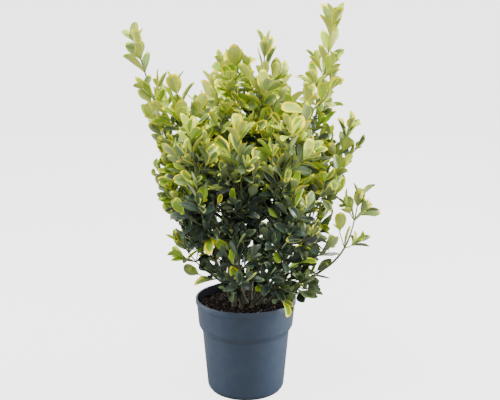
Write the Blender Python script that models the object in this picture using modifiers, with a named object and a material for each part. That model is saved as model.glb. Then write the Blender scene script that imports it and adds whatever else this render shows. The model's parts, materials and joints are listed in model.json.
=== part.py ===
"""Potted wintercreeper: an upright evergreen shrub of many stems in a round nursery pot.

Metres, +Z up. The origin is the centre of the pot's flat underside, and the front is towards -Y.
Every shoot is one curve from its foot or its parent to its tip. Its first, bare stretch is a limb,
and the leafy rest is a mass of foliage: one stem with side twigs and pairs of opposite leaves.
"""

import math
import random
from typing import NamedTuple

import bmesh
import bpy
from mathutils import Matrix, Vector
from mathutils.bvhtree import BVHTree

UP = Vector((0, 0, 1))
CLEARANCE = 0.0003

# Pot
POT_HEIGHT = 0.182
RIM_RADIUS = 0.095
RIM_BEVEL = 0.001
LIP_HEIGHT = 0.0095
COLLAR_TOP_RADIUS = 0.0930
COLLAR_FOOT_RADIUS = 0.0893
COLLAR_FOOT_HEIGHT = 0.130
COLLAR_ROUND = 0.004
BODY_TOP_RADIUS = 0.0826
BODY_TOP_HEIGHT = 0.119
BODY_FOOT_RADIUS = 0.0730
BASE_RADIUS = 0.0672
CORNER_HEIGHT = 0.008
WALL = 0.0016
FLOOR_THICKNESS = 0.0022
TURN_STEPS = 36
DRAIN_HOLES = 8
DRAIN_RADIUS = 0.0055
DRAIN_CIRCLE = 0.048
DRAIN_SIDES = 10

# Compost
COMPOST_HEIGHT = 0.168
COMPOST_FLAT_RADIUS = 0.040
COMPOST_LUMP = 0.0022
COMPOST_WALL_GAP = 0.0009

# Limbs
CLUMP_RADIUS = 0.024
FIRST_FOOT_BEARING = -110
STEM_FOOT_RADIUS = 0.0044
BOUGH_FOOT_RADIUS = 0.0024
TWIG_RADIUS = 0.0011
ROOT_FLARE = 0.0022
FLARE_HEIGHT = 0.0036
LIMB_TAPER = 0.8
LIMB_STEPS = 6
LIMB_SIDES = 6
LIMB_SWAY = 0.012

# Twigs
AXIS_STEPS = 4
AXIS_LEAD_IN = 0.004
NODE_GAP_LOW = 0.053
NODE_GAP_TIP = 0.028
TWIG_ZONE = 0.70
TWIG_LEAST_SPREAD = 0.03
TWIG_ANGLE = math.radians(49)
TWIG_RISE = 0.55
TWIG_SHORTENING = 0.35
TWIG_NODE_GAP = 0.030
TWIG_TRIES = 4

# Leaves
LEAF_LENGTH = 0.055
LEAF_WIDTH_SHARE = 0.58
LEAF_WIDEST = 0.60
LEAF_TIP_SHARE = 0.36
LEAF_KEEL = 0.045
LEAF_ROOT_DEPTH = 0.0004
LEAF_ROOT_FREE = 0.14
LEAF_ANGLE_LOW = math.radians(55)
LEAF_ANGLE_TIP = math.radians(35)
TIP_PAIR_ANGLE = math.radians(25)
TIP_PAIR_BACK = 0.002
TIP_PAIR_SIZE = 0.84
LIGHT_TURN = 0.45
LEAF_TRIES = 6
LEAF_TRY_LOSS = 0.05
GUARD = 0.0006
SPACE_MARGIN = 0.0008


class Shoot(NamedTuple):
    """One shoot. Its tip stands at a bearing round the pot (0 to the right, 90 to the back, -90 to
    the front, in degrees), a reach from the pot's axis and a height above the floor, in metres."""

    name: str
    parent: str  # the shoot that it leaves, or "" where it rises from the compost
    joint: float  # how far along its parent it leaves, as a share, within the parent's limb
    bearing: float
    reach: float
    height: float
    bare: float  # the share of the shoot that is a bare limb; 0 is a leafy twig on its parent
    bend: float  # over 0 it goes outwards first and then up, under 0 up first and then outwards
    spread: float  # the length of its side twigs


# The first is the main stem, in the middle of the clump.
SHOOTS = (
    Shoot("left_top", "", 0, -167, 0.136, 0.606, 0.40, 0.06, 0.060),
    Shoot("left_leader", "", 0, 180, 0.208, 0.690, 0.40, 0.04, 0.036),
    Shoot("right_leader", "", 0, 0, 0.162, 0.727, 0.42, 0.24, 0.040),
    Shoot("middle_leader", "", 0, 16, 0.037, 0.672, 0.40, 0.05, 0.056),
    Shoot("right_inner_top", "", 0, -19, 0.124, 0.584, 0.40, 0.06, 0.060),
    Shoot("front_centre", "", 0, -96, 0.124, 0.540, 0.36, 0.12, 0.062),
    Shoot("right_side", "", 0, -3, 0.202, 0.536, 0.38, 0.16, 0.046),
    Shoot("back_left", "", 0, 122, 0.128, 0.602, 0.40, 0.08, 0.062),
    Shoot("back_right", "", 0, 55, 0.132, 0.612, 0.40, 0.08, 0.062),
    Shoot("midleft_leader", "middle_leader", 0.33, 150, 0.030, 0.650, 0.30, 0.16, 0.050),
    Shoot("left_mid_top", "middle_leader", 0.28, -178, 0.062, 0.610, 0.30, 0.12, 0.054),
    Shoot("right_mid_top", "right_inner_top", 0.31, -8, 0.084, 0.596, 0.25, -0.10, 0.050),
    Shoot("left_side_up", "left_leader", 0.33, -173, 0.166, 0.492, 0.25, 0.20, 0.048),
    Shoot("left_side_mid", "left_leader", 0.26, -163, 0.166, 0.430, 0.23, 0.18, 0.050),
    Shoot("front_left_up", "left_top", 0.33, -135, 0.148, 0.540, 0.26, 0.20, 0.060),
    Shoot("front_left_low", "left_top", 0.25, -124, 0.168, 0.446, 0.26, 0.22, 0.060),
    Shoot("front_right_up", "right_inner_top", 0.26, -52, 0.136, 0.538, 0.28, 0.20, 0.060),
    Shoot("front_right_low", "right_inner_top", 0.21, -56, 0.166, 0.446, 0.28, 0.22, 0.060),
    Shoot("right_mid", "right_side", 0.31, -16, 0.160, 0.446, 0.25, 0.16, 0.048),
    Shoot("right_lower", "right_side", 0.08, -7, 0.232, 0.404, 0.50, 0.36, 0.036),
    Shoot("back_right_side", "back_right", 0.33, 22, 0.186, 0.500, 0.28, 0.20, 0.060),
    Shoot("back_left_side", "back_left", 0.33, 155, 0.186, 0.505, 0.28, 0.20, 0.060),
    Shoot("back_mid", "back_right", 0.26, 88, 0.174, 0.515, 0.28, 0.20, 0.062),
    Shoot("left_low", "left_leader", 0.18, -160, 0.140, 0.366, 0, 0.14, 0.044),
    Shoot("left_twig", "left_leader", 0.09, -167, 0.140, 0.310, 0, 0.10, 0.036),
    Shoot("low_left", "left_top", 0.10, -143, 0.108, 0.262, 0, 0.10, 0.040),
    Shoot("low_front", "front_centre", 0.14, -96, 0.150, 0.342, 0, 0.24, 0.062),
    Shoot("low_front_right", "right_inner_top", 0.13, -54, 0.148, 0.330, 0, 0.20, 0.050),
    Shoot("low_right", "right_side", 0.05, -44, 0.122, 0.206, 0, -0.16, 0.034),
    Shoot("low_right_side", "right_lower", 0.14, -26, 0.154, 0.222, 0, 0.05, 0.034),
    Shoot("low_middle", "middle_leader", 0.10, -70, 0.080, 0.310, 0, 0.10, 0.056),
    Shoot("right_low", "right_side", 0.20, -14, 0.184, 0.306, 0, 0.20, 0.046),
    Shoot("back_low_left", "back_left", 0.18, 140, 0.158, 0.352, 0, 0.20, 0.054),
    Shoot("back_low_right", "back_right", 0.17, 40, 0.162, 0.352, 0, 0.20, 0.054),
    Shoot("back_low_mid", "back_left", 0.12, 95, 0.146, 0.318, 0, 0.20, 0.054),
)
SHOOT_BY_NAME = {shoot.name: shoot for shoot in SHOOTS}


class Course(NamedTuple):
    """The line that a shoot follows, and its radius at the foot."""

    start: Vector
    control: Vector
    tip: Vector
    sway: Vector
    foot_radius: float

    def point(self, share):
        rest = 1 - share
        arc = rest * rest * self.start + 2 * rest * share * self.control + share * share * self.tip
        return arc + self.sway * (math.sin(2 * math.pi * share) * math.sin(math.pi * share))

    def radius(self, share):
        return self.foot_radius + (TWIG_RADIUS - self.foot_radius) * share**LIMB_TAPER


def polar(bearing, reach, height):
    turn = math.radians(bearing)
    return Vector((reach * math.cos(turn), reach * math.sin(turn), height))


def across(direction):
    """Two unit vectors that are square to a direction and to each other."""
    side = direction.cross(UP)
    if side.length < 0.05:
        side = direction.cross(Vector((0, 1, 0)))
    side.normalize()
    return side, side.cross(direction).normalized()


def foot_of(shoot):
    """Where a stem stands: the main stem in the middle, and the rest evenly round it."""
    height = COMPOST_HEIGHT + CLEARANCE
    if shoot is SHOOTS[0]:
        return polar(0, 0, height)
    ring = sorted((other.bearing, other.name) for other in SHOOTS[1:] if not other.parent)
    place = [name for _, name in ring].index(shoot.name)
    return polar(FIRST_FOOT_BEARING + 360 * place / len(ring), CLUMP_RADIUS, height)


def course_of(shoot):
    """Where a shoot runs, worked out from its foot or its parent's course and its own tip."""
    if shoot.parent:
        carrier = course_of(SHOOT_BY_NAME[shoot.parent])
        start = carrier.point(shoot.joint)
        own_radius = BOUGH_FOOT_RADIUS if shoot.bare else TWIG_RADIUS * 1.3
        foot_radius = min(own_radius, carrier.radius(shoot.joint) * 0.8)
    else:
        start = foot_of(shoot)
        foot_radius = STEM_FOOT_RADIUS * (0.75 + 0.25 * shoot.height / SHOOTS[0].height)
    tip = polar(shoot.bearing, shoot.reach, shoot.height)
    tip -= (tip - start).normalized() * LEAF_LENGTH * 0.7
    span = tip - start
    outwards = Vector((span.x, span.y, 0)) * (0.5 + shoot.bend)
    control = start + outwards + UP * span.z * (0.5 - shoot.bend)
    dice = random.Random(shoot.name + " sway")
    side, over = across(span.normalized())
    sway = (side * dice.uniform(-1, 1) + over * dice.uniform(-1, 1)) * LIMB_SWAY
    return Course(start, control, tip, sway, foot_radius)


def limb_line(shoot, course):
    """The points and radii of a shoot's bare limb. A stem flares just above its flat foot."""
    shares = [shoot.bare * step / LIMB_STEPS for step in range(LIMB_STEPS + 1)]
    points = [course.point(share) for share in shares]
    radii = [course.radius(share) for share in shares]
    if not shoot.parent:
        points.insert(1, points[0] + UP * FLARE_HEIGHT)
        radii.insert(1, radii[0] + ROOT_FLARE * 0.6)
        radii[0] += ROOT_FLARE
    return points, radii


def mass_line(shoot, course):
    """The axis of a mass: from just past its limb's tip, or from inside its parent, to its own tip."""
    shares = [shoot.bare + (1 - shoot.bare) * step / AXIS_STEPS for step in range(AXIS_STEPS + 1)]
    points = [course.point(share) for share in shares]
    if shoot.bare:
        before = course.point(shoot.bare * (1 - 1 / LIMB_STEPS))
        way = (points[0] - before).normalized()
        points[0] = points[0] + way * CLEARANCE
        points.insert(1, points[0] + way * AXIS_LEAD_IN)
    return points


def material(name, colour, roughness):
    made = bpy.data.materials.new(name)
    made.use_nodes = True
    shader = made.node_tree.nodes["Principled BSDF"]
    shader.inputs["Base Color"].default_value = (*colour, 1)
    shader.inputs["Roughness"].default_value = roughness
    shader.inputs["Metallic"].default_value = 0
    return made


def new_collection(name):
    made = bpy.data.collections.new(name)
    bpy.context.scene.collection.children.link(made)
    return made


def add_mesh(name, mesh, collection, finish=None):
    made = bpy.data.objects.new(name, mesh)
    collection.objects.link(made)
    if finish:
        mesh.materials.clear()
        mesh.materials.append(finish)
    return made


def remove(target):
    data = target.data
    bpy.data.objects.remove(target)
    if isinstance(data, bpy.types.Mesh):
        bpy.data.meshes.remove(data)
    else:
        bpy.data.curves.remove(data)


def shown_mesh(source):
    """The mesh that a curve or a modified object shows."""
    bpy.context.view_layer.update()
    graph = bpy.context.evaluated_depsgraph_get()
    return bpy.data.meshes.new_from_object(source.evaluated_get(graph))


def as_mesh_object(source, name, collection, finish=None):
    """A mesh object of what a curve or a modified mesh shows, its caps welded, in the source's place."""
    mesh = shown_mesh(source)
    work = bmesh.new()
    work.from_mesh(mesh)
    bmesh.ops.remove_doubles(work, verts=work.verts, dist=1e-6)
    bmesh.ops.recalc_face_normals(work, faces=work.faces)
    work.to_mesh(mesh)
    work.free()
    made = add_mesh(name, mesh, collection, finish)
    made.matrix_world = source.matrix_world
    remove(source)
    return made


def turned(name, profile, collection, finish):
    """A round body from its (radius, height) profile, which runs down its outer side."""
    mesh = bpy.data.meshes.new(name + "_profile")
    edges = [(i, i + 1) for i in range(len(profile) - 1)]
    mesh.from_pydata([(r, 0, z) for r, z in profile], edges, [])
    source = add_mesh(name + "_profile", mesh, collection)
    screw = source.modifiers.new("Turn", "SCREW")
    screw.steps = screw.render_steps = TURN_STEPS
    screw.use_merge_vertices = True
    screw.merge_threshold = 0.00001
    return as_mesh_object(source, name, collection, finish)


def pot_outside():
    """The outer profile, from the rim down to the centre of the base."""
    return [
        (RIM_RADIUS - RIM_BEVEL, POT_HEIGHT),
        (RIM_RADIUS, POT_HEIGHT - RIM_BEVEL),
        (RIM_RADIUS, POT_HEIGHT - LIP_HEIGHT),
        (COLLAR_TOP_RADIUS, POT_HEIGHT - LIP_HEIGHT - RIM_BEVEL),
        (COLLAR_FOOT_RADIUS, COLLAR_FOOT_HEIGHT),
        (COLLAR_FOOT_RADIUS - COLLAR_ROUND * 0.3, COLLAR_FOOT_HEIGHT - COLLAR_ROUND),
        (BODY_TOP_RADIUS, BODY_TOP_HEIGHT),
        (BODY_FOOT_RADIUS, CORNER_HEIGHT),
        ((BODY_FOOT_RADIUS * 2 + BASE_RADIUS) / 3, CORNER_HEIGHT / 3),
        (BASE_RADIUS, 0),
        (0, 0),
    ]


def pot_inside(gap=0.0):
    """The inner profile, from the centre of the pot's floor up to the rim, moved in by a gap."""
    inset = WALL + gap
    return [
        (0, FLOOR_THICKNESS + gap),
        (BASE_RADIUS - inset, FLOOR_THICKNESS + gap),
        (BODY_FOOT_RADIUS - inset, CORNER_HEIGHT + gap),
        (BODY_TOP_RADIUS - inset, BODY_TOP_HEIGHT + gap),
        (COLLAR_FOOT_RADIUS - inset, COLLAR_FOOT_HEIGHT + gap),
        (COLLAR_TOP_RADIUS - inset, POT_HEIGHT - RIM_BEVEL / 2),
    ]


def make_drain_cutters(cutters):
    for number in range(DRAIN_HOLES):
        turn = 2 * math.pi * number / DRAIN_HOLES
        bpy.ops.mesh.primitive_cylinder_add(
            vertices=DRAIN_SIDES,
            radius=DRAIN_RADIUS,
            depth=FLOOR_THICKNESS * 4,
            location=(DRAIN_CIRCLE * math.cos(turn), DRAIN_CIRCLE * math.sin(turn), 0),
        )
        cutter = bpy.context.object
        cutter.name = f"drain_cutter_{number + 1}"
        cutter.display_type = "WIRE"
        cutter.hide_render = True
        for holder in cutter.users_collection:
            holder.objects.unlink(cutter)
        cutters.objects.link(cutter)


def make_pot(collection, cutters, finish):
    pot = turned("pot", pot_inside() + pot_outside(), collection, finish)
    make_drain_cutters(cutters)
    holes = pot.modifiers.new("Drain holes", "BOOLEAN")
    holes.operation = "DIFFERENCE"
    holes.operand_type = "COLLECTION"
    holes.collection = cutters
    apply_modifiers(pot)
    for cutter in list(cutters.objects):
        remove(cutter)
    return pot


def make_compost(collection, finish):
    """The filled inside: compost that is flat where the stems stand and lumpy nearer the wall."""
    side = [point for point in pot_inside(CLEARANCE * 1.4) if point[1] < COMPOST_HEIGHT]
    share = (COMPOST_HEIGHT - COLLAR_FOOT_HEIGHT) / (POT_HEIGHT - COLLAR_FOOT_HEIGHT)
    wall = COLLAR_FOOT_RADIUS + (COLLAR_TOP_RADIUS - COLLAR_FOOT_RADIUS) * share - WALL
    edge = wall - COMPOST_WALL_GAP
    rings = (edge - 0.008, (edge + COMPOST_FLAT_RADIUS) / 2, COMPOST_FLAT_RADIUS, 0)
    top = [(edge, COMPOST_HEIGHT - COMPOST_LUMP * 2)] + [(radius, COMPOST_HEIGHT) for radius in rings]
    compost = turned("compost", (side + top)[::-1], collection, finish)
    dice = random.Random(5)
    for vertex in compost.data.vertices:
        from_axis = math.hypot(vertex.co.x, vertex.co.y)
        on_top = vertex.co.z > COMPOST_HEIGHT - 0.001
        if on_top and from_axis > COMPOST_FLAT_RADIUS + 0.001:
            vertex.co.z += dice.uniform(-1, 1) * COMPOST_LUMP
    return compost


def bevel_section(name):
    """The three-cornered outline that a twig's curve carries along."""
    outline = bpy.data.curves.new(name, "CURVE")
    section = outline.splines.new("POLY")
    section.points.add(2)
    section.use_cyclic_u = True
    for corner, place in enumerate(section.points):
        turn = -2 * math.pi * corner / 3
        place.co = (math.cos(turn), math.sin(turn), 0, 1)
    return bpy.data.objects.new(name, outline)


def tube(name, points, radii, collection, three_sided=False, finish=None):
    """A tapering limb or twig along points: a POLY curve with a bevel and filled caps, as a mesh."""
    curve = bpy.data.curves.new(name, "CURVE")
    curve.dimensions = "3D"
    curve.use_fill_caps = True
    section = bevel_section(name + "_section") if three_sided else None
    if section:
        curve.bevel_mode = "OBJECT"
        curve.bevel_object = section
    else:
        curve.bevel_depth = 1
        curve.bevel_resolution = (LIMB_SIDES - 4) // 2
    spline = curve.splines.new("POLY")
    spline.points.add(len(points) - 1)
    for place, point, radius in zip(spline.points, points, radii):
        place.co = (*point, 1)
        place.radius = radius
    holder = bpy.data.objects.new(name + "_curve", curve)
    collection.objects.link(holder)
    made = as_mesh_object(holder, name, collection, finish)
    if section:
        remove(section)
    return made


def tree_of(target, shift=0.0):
    """A search tree of an object's faces, grown outwards by a shift."""
    points = [vertex.co + vertex.normal * shift for vertex in target.data.vertices]
    return BVHTree.FromPolygons(points, [tuple(face.vertices) for face in target.data.polygons])


def apply_modifiers(target):
    mesh = shown_mesh(target)
    old = target.data
    target.modifiers.clear()
    target.data = mesh
    bpy.data.meshes.remove(old)
    mesh.name = target.name


def shells_of(work):
    """The separate closed surfaces in a bmesh, each as a set of its vertices, smallest first."""
    shells = []
    waiting = set(work.verts)
    while waiting:
        shell = set()
        front = [waiting.pop()]
        while front:
            vertex = front.pop()
            shell.add(vertex)
            for edge in vertex.link_edges:
                other = edge.other_vert(vertex)
                if other in waiting:
                    waiting.remove(other)
                    front.append(other)
        shells.append(shell)
    return sorted(shells, key=len)


def keep_largest_shell(target):
    """Drops loose scraps, and the inner walls of sealed hollows, which fills them."""
    work = bmesh.new()
    work.from_mesh(target.data)
    bmesh.ops.triangulate(work, faces=work.faces)
    lost = [vertex for shell in shells_of(work)[:-1] for vertex in shell]
    bmesh.ops.delete(work, geom=lost, context="VERTS")
    work.to_mesh(target.data)
    work.free()


def add_clearing_cut(target, carrier, cutters):
    """Adds a cut by the carrier, grown a little, to a limb or mass that starts inside it."""
    cutter = carrier.copy()
    cutter.data = carrier.data.copy()
    cutter.display_type = "WIRE"
    cutter.hide_render = True
    cutters.objects.link(cutter)
    for vertex, normal in [(v, v.normal.copy()) for v in cutter.data.vertices]:
        vertex.co += normal * CLEARANCE * 1.3
    cut = target.modifiers.new("Cut clear", "BOOLEAN")
    cut.operation = "DIFFERENCE"
    cut.solver = "MANIFOLD"
    cut.object = cutter
    return cutter


def leaf_outline(root, along, face, length):
    """Six points of an obovate leaf: its root, its widest pair, its blunt tip's pair, and its keel."""
    side = along.cross(face).normalized() * (length * LEAF_WIDTH_SHARE / 2)
    return [
        root,
        root + along * (length * LEAF_WIDEST) + side,
        root + along * (length * LEAF_WIDEST) - side,
        root + along * length + side * LEAF_TIP_SHARE,
        root + along * length - side * LEAF_TIP_SHARE,
        root + along * (length / 2) - face * (length * LEAF_KEEL),
    ]


def hull_mesh(name, points):
    """A closed mesh round points; the six of a leaf's outline give a blade of eight faces."""
    mesh = bpy.data.meshes.new(name)
    work = bmesh.new()
    corners = [work.verts.new(point) for point in points]
    bmesh.ops.convex_hull(work, input=corners)
    bmesh.ops.triangulate(work, faces=work.faces)
    bmesh.ops.recalc_face_normals(work, faces=work.faces)
    work.to_mesh(mesh)
    work.free()
    return mesh


def guard_tree(points, away):
    """A search tree of the hull round points, grown by GUARD all round and along away."""
    middle = sum(points, Vector()) / len(points)
    grown = []
    for point in points:
        out = (point - middle).normalized() * GUARD
        grown += [point + out + away * GUARD, point + out - away * GUARD]
    mesh = hull_mesh("guard", grown)
    corners = [vertex.co for vertex in mesh.vertices]
    tree = BVHTree.FromPolygons(corners, [tuple(face.vertices) for face in mesh.polygons])
    bpy.data.meshes.remove(mesh)
    return tree


def distance_to_line(point, line):
    nearest = []
    for a, b in zip(line, line[1:]):
        span = b - a
        share = max(0.0, min(1.0, (point - a).dot(span) / span.length_squared))
        nearest.append((point - a - span * share).length)
    return min(nearest)


class Mass:
    """The foliage of one shoot while it grows: its pieces, its own space, and what it keeps clear of."""

    def __init__(self, shoot, axes, obstacles, workshop):
        self.shoot = shoot
        self.axis = axes[shoot.name]
        self.other_axes = [line for name, line in axes.items() if name != shoot.name]
        self.obstacles = list(obstacles)
        self.workshop = workshop
        self.dice = random.Random(shoot.name)
        self.pieces = []

    def holds(self, points):
        """Whether each point is nearer to this mass's axis than to any other mass's."""
        for point in points:
            own = distance_to_line(point, self.axis) + SPACE_MARGIN
            if any(distance_to_line(point, line) < own for line in self.other_axes):
                return False
        return True

    def free(self, points, away):
        if not self.holds(points):
            return False
        guard = guard_tree(points, away)
        return not any(guard.overlap(tree) for tree in self.obstacles)

    def add_twig(self, line, radii):
        twig = tube(self.shoot.name + "_twig", line, radii, self.workshop, three_sided=True)
        self.pieces.append(twig)
        self.obstacles.append(tree_of(twig, GUARD))

    def add_leaf(self, root, along, face, length):
        """Puts one leaf on a twig if its blade is free, or turns and shortens it and tries again."""
        for attempt in range(LEAF_TRIES):
            turn = self.dice.uniform(-0.25, 0.25) * attempt
            lean = self.dice.uniform(-0.20, 0.20) * attempt
            if attempt:
                length *= 1 - LEAF_TRY_LOSS
            way = Matrix.Rotation(turn, 3, face) @ (along + face * lean).normalized()
            square_face = (face - way * face.dot(way)).normalized()
            outline = leaf_outline(root, way, square_face, length)
            blade = [root + way * length * LEAF_ROOT_FREE] + outline[1:]
            if self.free(blade, square_face):
                leaf = hull_mesh("leaf", outline)
                self.pieces.append(add_mesh(self.shoot.name + "_leaf", leaf, self.workshop))
                self.obstacles.append(guard_tree(blade, square_face))
                return

    def add_pair(self, place, way, turn, angle, length):
        """Two opposite leaves at a node of a twig that runs along way, their roots sunk into it."""
        side, over = across(way)
        spoke = side * math.cos(turn) + over * math.sin(turn)
        for out in (spoke, -spoke):
            along = (way * math.cos(angle) + out * math.sin(angle)).normalized()
            face = way * math.sin(angle) - out * math.cos(angle)
            light = UP + Vector((place.x, place.y, 0)) * 2
            face = face.normalized() + (light - along * light.dot(along)) * LIGHT_TURN
            face = (face - along * face.dot(along)).normalized()
            root = place - along * LEAF_ROOT_DEPTH
            self.add_leaf(root, along, face, length * self.dice.uniform(0.85, 1.12))


def nodes_along(line, gap_low, gap_tip):
    """Where leaves or twigs stand on a twig: (point, direction, share), closer towards its tip."""
    spans = [(b - a).length for a, b in zip(line, line[1:])]
    total = sum(spans)
    places = []
    run = gap_low
    while run < total - 0.001:
        past = run
        for span, (a, b) in zip(spans, zip(line, line[1:])):
            if past <= span:
                places.append((a.lerp(b, past / span), (b - a).normalized(), run / total))
                break
            past -= span
        run += gap_low + (gap_tip - gap_low) * run / total
    return places


def leaf_angle(share):
    """The angle between a leaf and its twig, smaller towards the twig's tip."""
    return LEAF_ANGLE_LOW + (LEAF_ANGLE_TIP - LEAF_ANGLE_LOW) * share


def add_tip_pair(mass, end, way, turn):
    mass.add_pair(end - way * TIP_PAIR_BACK, way, turn, TIP_PAIR_ANGLE, LEAF_LENGTH * TIP_PAIR_SIZE)


def grow_twig(mass, start, way, length):
    """A side twig that turns upwards, with pairs of leaves set crosswise and a pair at its tip."""
    rise = (way + UP * TWIG_RISE).normalized()
    middle = start + way * (length / 2)
    line = [start, middle, middle + rise * (length / 2)]
    side = across(way)[0] * TWIG_RADIUS
    free_start = start.lerp(middle, 0.3)
    outline = [point + side * sign for point in (free_start, *line[1:]) for sign in (1, -1)]
    if not mass.free(outline, side.cross(way).normalized()):
        return False
    mass.add_twig(line, [TWIG_RADIUS * 0.5, TWIG_RADIUS, TWIG_RADIUS * 0.6])
    turn = mass.dice.uniform(0, math.pi)
    for place, forward, share in nodes_along(line, TWIG_NODE_GAP, TWIG_NODE_GAP):
        mass.add_pair(place, forward, turn, leaf_angle(share), LEAF_LENGTH * (1 - 0.22 * share))
        turn += math.pi / 2
    add_tip_pair(mass, line[-1], rise, turn)
    return True


def grow_side_twig(mass, place, way, spoke, share):
    """Tries a side twig at a node of the axis, turned further and shorter until one is free."""
    for attempt in range(TWIG_TRIES):
        twist = Matrix.Rotation(attempt * mass.dice.uniform(-0.5, 0.5), 3, way)
        out = twist @ (way * math.cos(TWIG_ANGLE) + spoke * math.sin(TWIG_ANGLE))
        length = mass.shoot.spread * (1 - TWIG_SHORTENING * share) * mass.dice.uniform(0.8, 1.2)
        if grow_twig(mass, place, out.normalized(), length * 0.9**attempt):
            return


def grow_axis(mass, foot_radius):
    """The mass's own stem: side twigs in its lower part, then pairs of leaves, and a pair at its tip."""
    line = mass.axis
    steps = len(line) - 1
    tip_radius = TWIG_RADIUS * 0.7
    radii = [foot_radius + (tip_radius - foot_radius) * step / steps for step in range(steps + 1)]
    mass.add_twig(line, radii)
    turn = mass.dice.uniform(0, math.pi)
    for place, way, share in nodes_along(line, NODE_GAP_LOW, NODE_GAP_TIP):
        side, over = across(way)
        spoke = side * math.cos(turn) + over * math.sin(turn)
        if share < TWIG_ZONE and mass.shoot.spread > TWIG_LEAST_SPREAD:
            grow_side_twig(mass, place, way, spoke, share)
            grow_side_twig(mass, place, way, -spoke, share)
        else:
            mass.add_pair(place, way, turn, leaf_angle(share), LEAF_LENGTH * (1.08 - 0.20 * share))
        turn += math.pi / 2
    add_tip_pair(mass, line[-1], (line[-1] - line[-2]).normalized(), turn)


def fuse(mass, collection, cutters, finish, carrier):
    """One solid of the mass's pieces, by a Boolean union on their collection, cut clear of its carrier."""
    solid = mass.pieces[0]
    mass.workshop.objects.unlink(solid)
    collection.objects.link(solid)
    solid.name = "foliage_" + mass.shoot.name
    join = solid.modifiers.new("Fuse", "BOOLEAN")
    join.operation = "UNION"
    join.operand_type = "COLLECTION"
    join.solver = "MANIFOLD"
    join.collection = mass.workshop
    spent = mass.pieces[1:]
    if carrier:
        spent.append(add_clearing_cut(solid, carrier, cutters))
    apply_modifiers(solid)
    keep_largest_shell(solid)
    for piece in spent:
        remove(piece)
    solid.data.materials.clear()
    solid.data.materials.append(finish)
    return solid


def make_limb(shoot, course, carrier, collection, cutters, finish):
    kind = "bough_" if shoot.parent else "stem_"
    points, radii = limb_line(shoot, course)
    limb = tube(kind + shoot.name, points, radii, collection, finish=finish)
    if carrier:
        cutter = add_clearing_cut(limb, carrier, cutters)
        apply_modifiers(limb)
        keep_largest_shell(limb)
        remove(cutter)
    return limb


def settle(target, origin, holder):
    """Moves an object's origin to the point where it starts, without moving its shape."""
    target.data.transform(Matrix.Translation(-origin))
    target.location = origin
    target.parent = holder


def shade(target, angle):
    target.data.shade_smooth()
    target.data.set_sharp_from_angle(angle=math.radians(angle))


def main():
    for old in list(bpy.data.objects):
        bpy.data.objects.remove(old)
    plant = new_collection("potted_wintercreeper")
    cutters = new_collection("cutters")
    workshop = new_collection("workshop")
    plastic = material("pot_plastic", (0.060, 0.090, 0.130), 0.5)
    peat = material("compost", (0.020, 0.014, 0.010), 0.95)
    bark = material("bark", (0.130, 0.110, 0.070), 0.8)
    greens = material("foliage", (0.180, 0.290, 0.060), 0.55)

    pot = make_pot(plant, cutters, plastic)
    compost = make_compost(plant, peat)
    courses = {shoot.name: course_of(shoot) for shoot in SHOOTS}
    limbs = {}
    for shoot in SHOOTS:
        if shoot.bare:
            carrier = limbs.get(shoot.parent)
            limbs[shoot.name] = make_limb(shoot, courses[shoot.name], carrier, plant, cutters, bark)

    axes = {shoot.name: mass_line(shoot, courses[shoot.name]) for shoot in SHOOTS}
    obstacles = [tree_of(solid, CLEARANCE) for solid in (pot, compost, *limbs.values())]
    masses = {}
    for shoot in SHOOTS:
        mass = Mass(shoot, axes, obstacles, workshop)
        grow_axis(mass, courses[shoot.name].radius(shoot.bare) * 0.95)
        carrier = None if shoot.bare else limbs[shoot.parent]
        masses[shoot.name] = fuse(mass, plant, cutters, greens, carrier)
        obstacles.append(tree_of(masses[shoot.name]))

    holder = bpy.data.objects.new("potted_wintercreeper", None)
    plant.objects.link(holder)
    for name, limb in limbs.items():
        settle(limb, courses[name].start, holder)
        shade(limb, 50)
    for name, foliage in masses.items():
        settle(foliage, axes[name][0], holder)
    for turned_part in (pot, compost):
        turned_part.parent = holder
        shade(turned_part, 35)
    for spare in (cutters, workshop):
        bpy.data.collections.remove(spare)


main()
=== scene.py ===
"""The looks of a potted wintercreeper: bark, twigs, variegated leaves, compost and a plastic nursery pot.

Metres, +Z up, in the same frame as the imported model. Each shoot follows the same course as its limb
and its mass of foliage there, and carries finer twigs and leaves of the real size.
"""

import json
import math
import random
from collections import defaultdict
from typing import NamedTuple

import bmesh
import bpy
import numpy as np
from mathutils import Matrix, Vector
from mathutils.bvhtree import BVHTree

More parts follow.
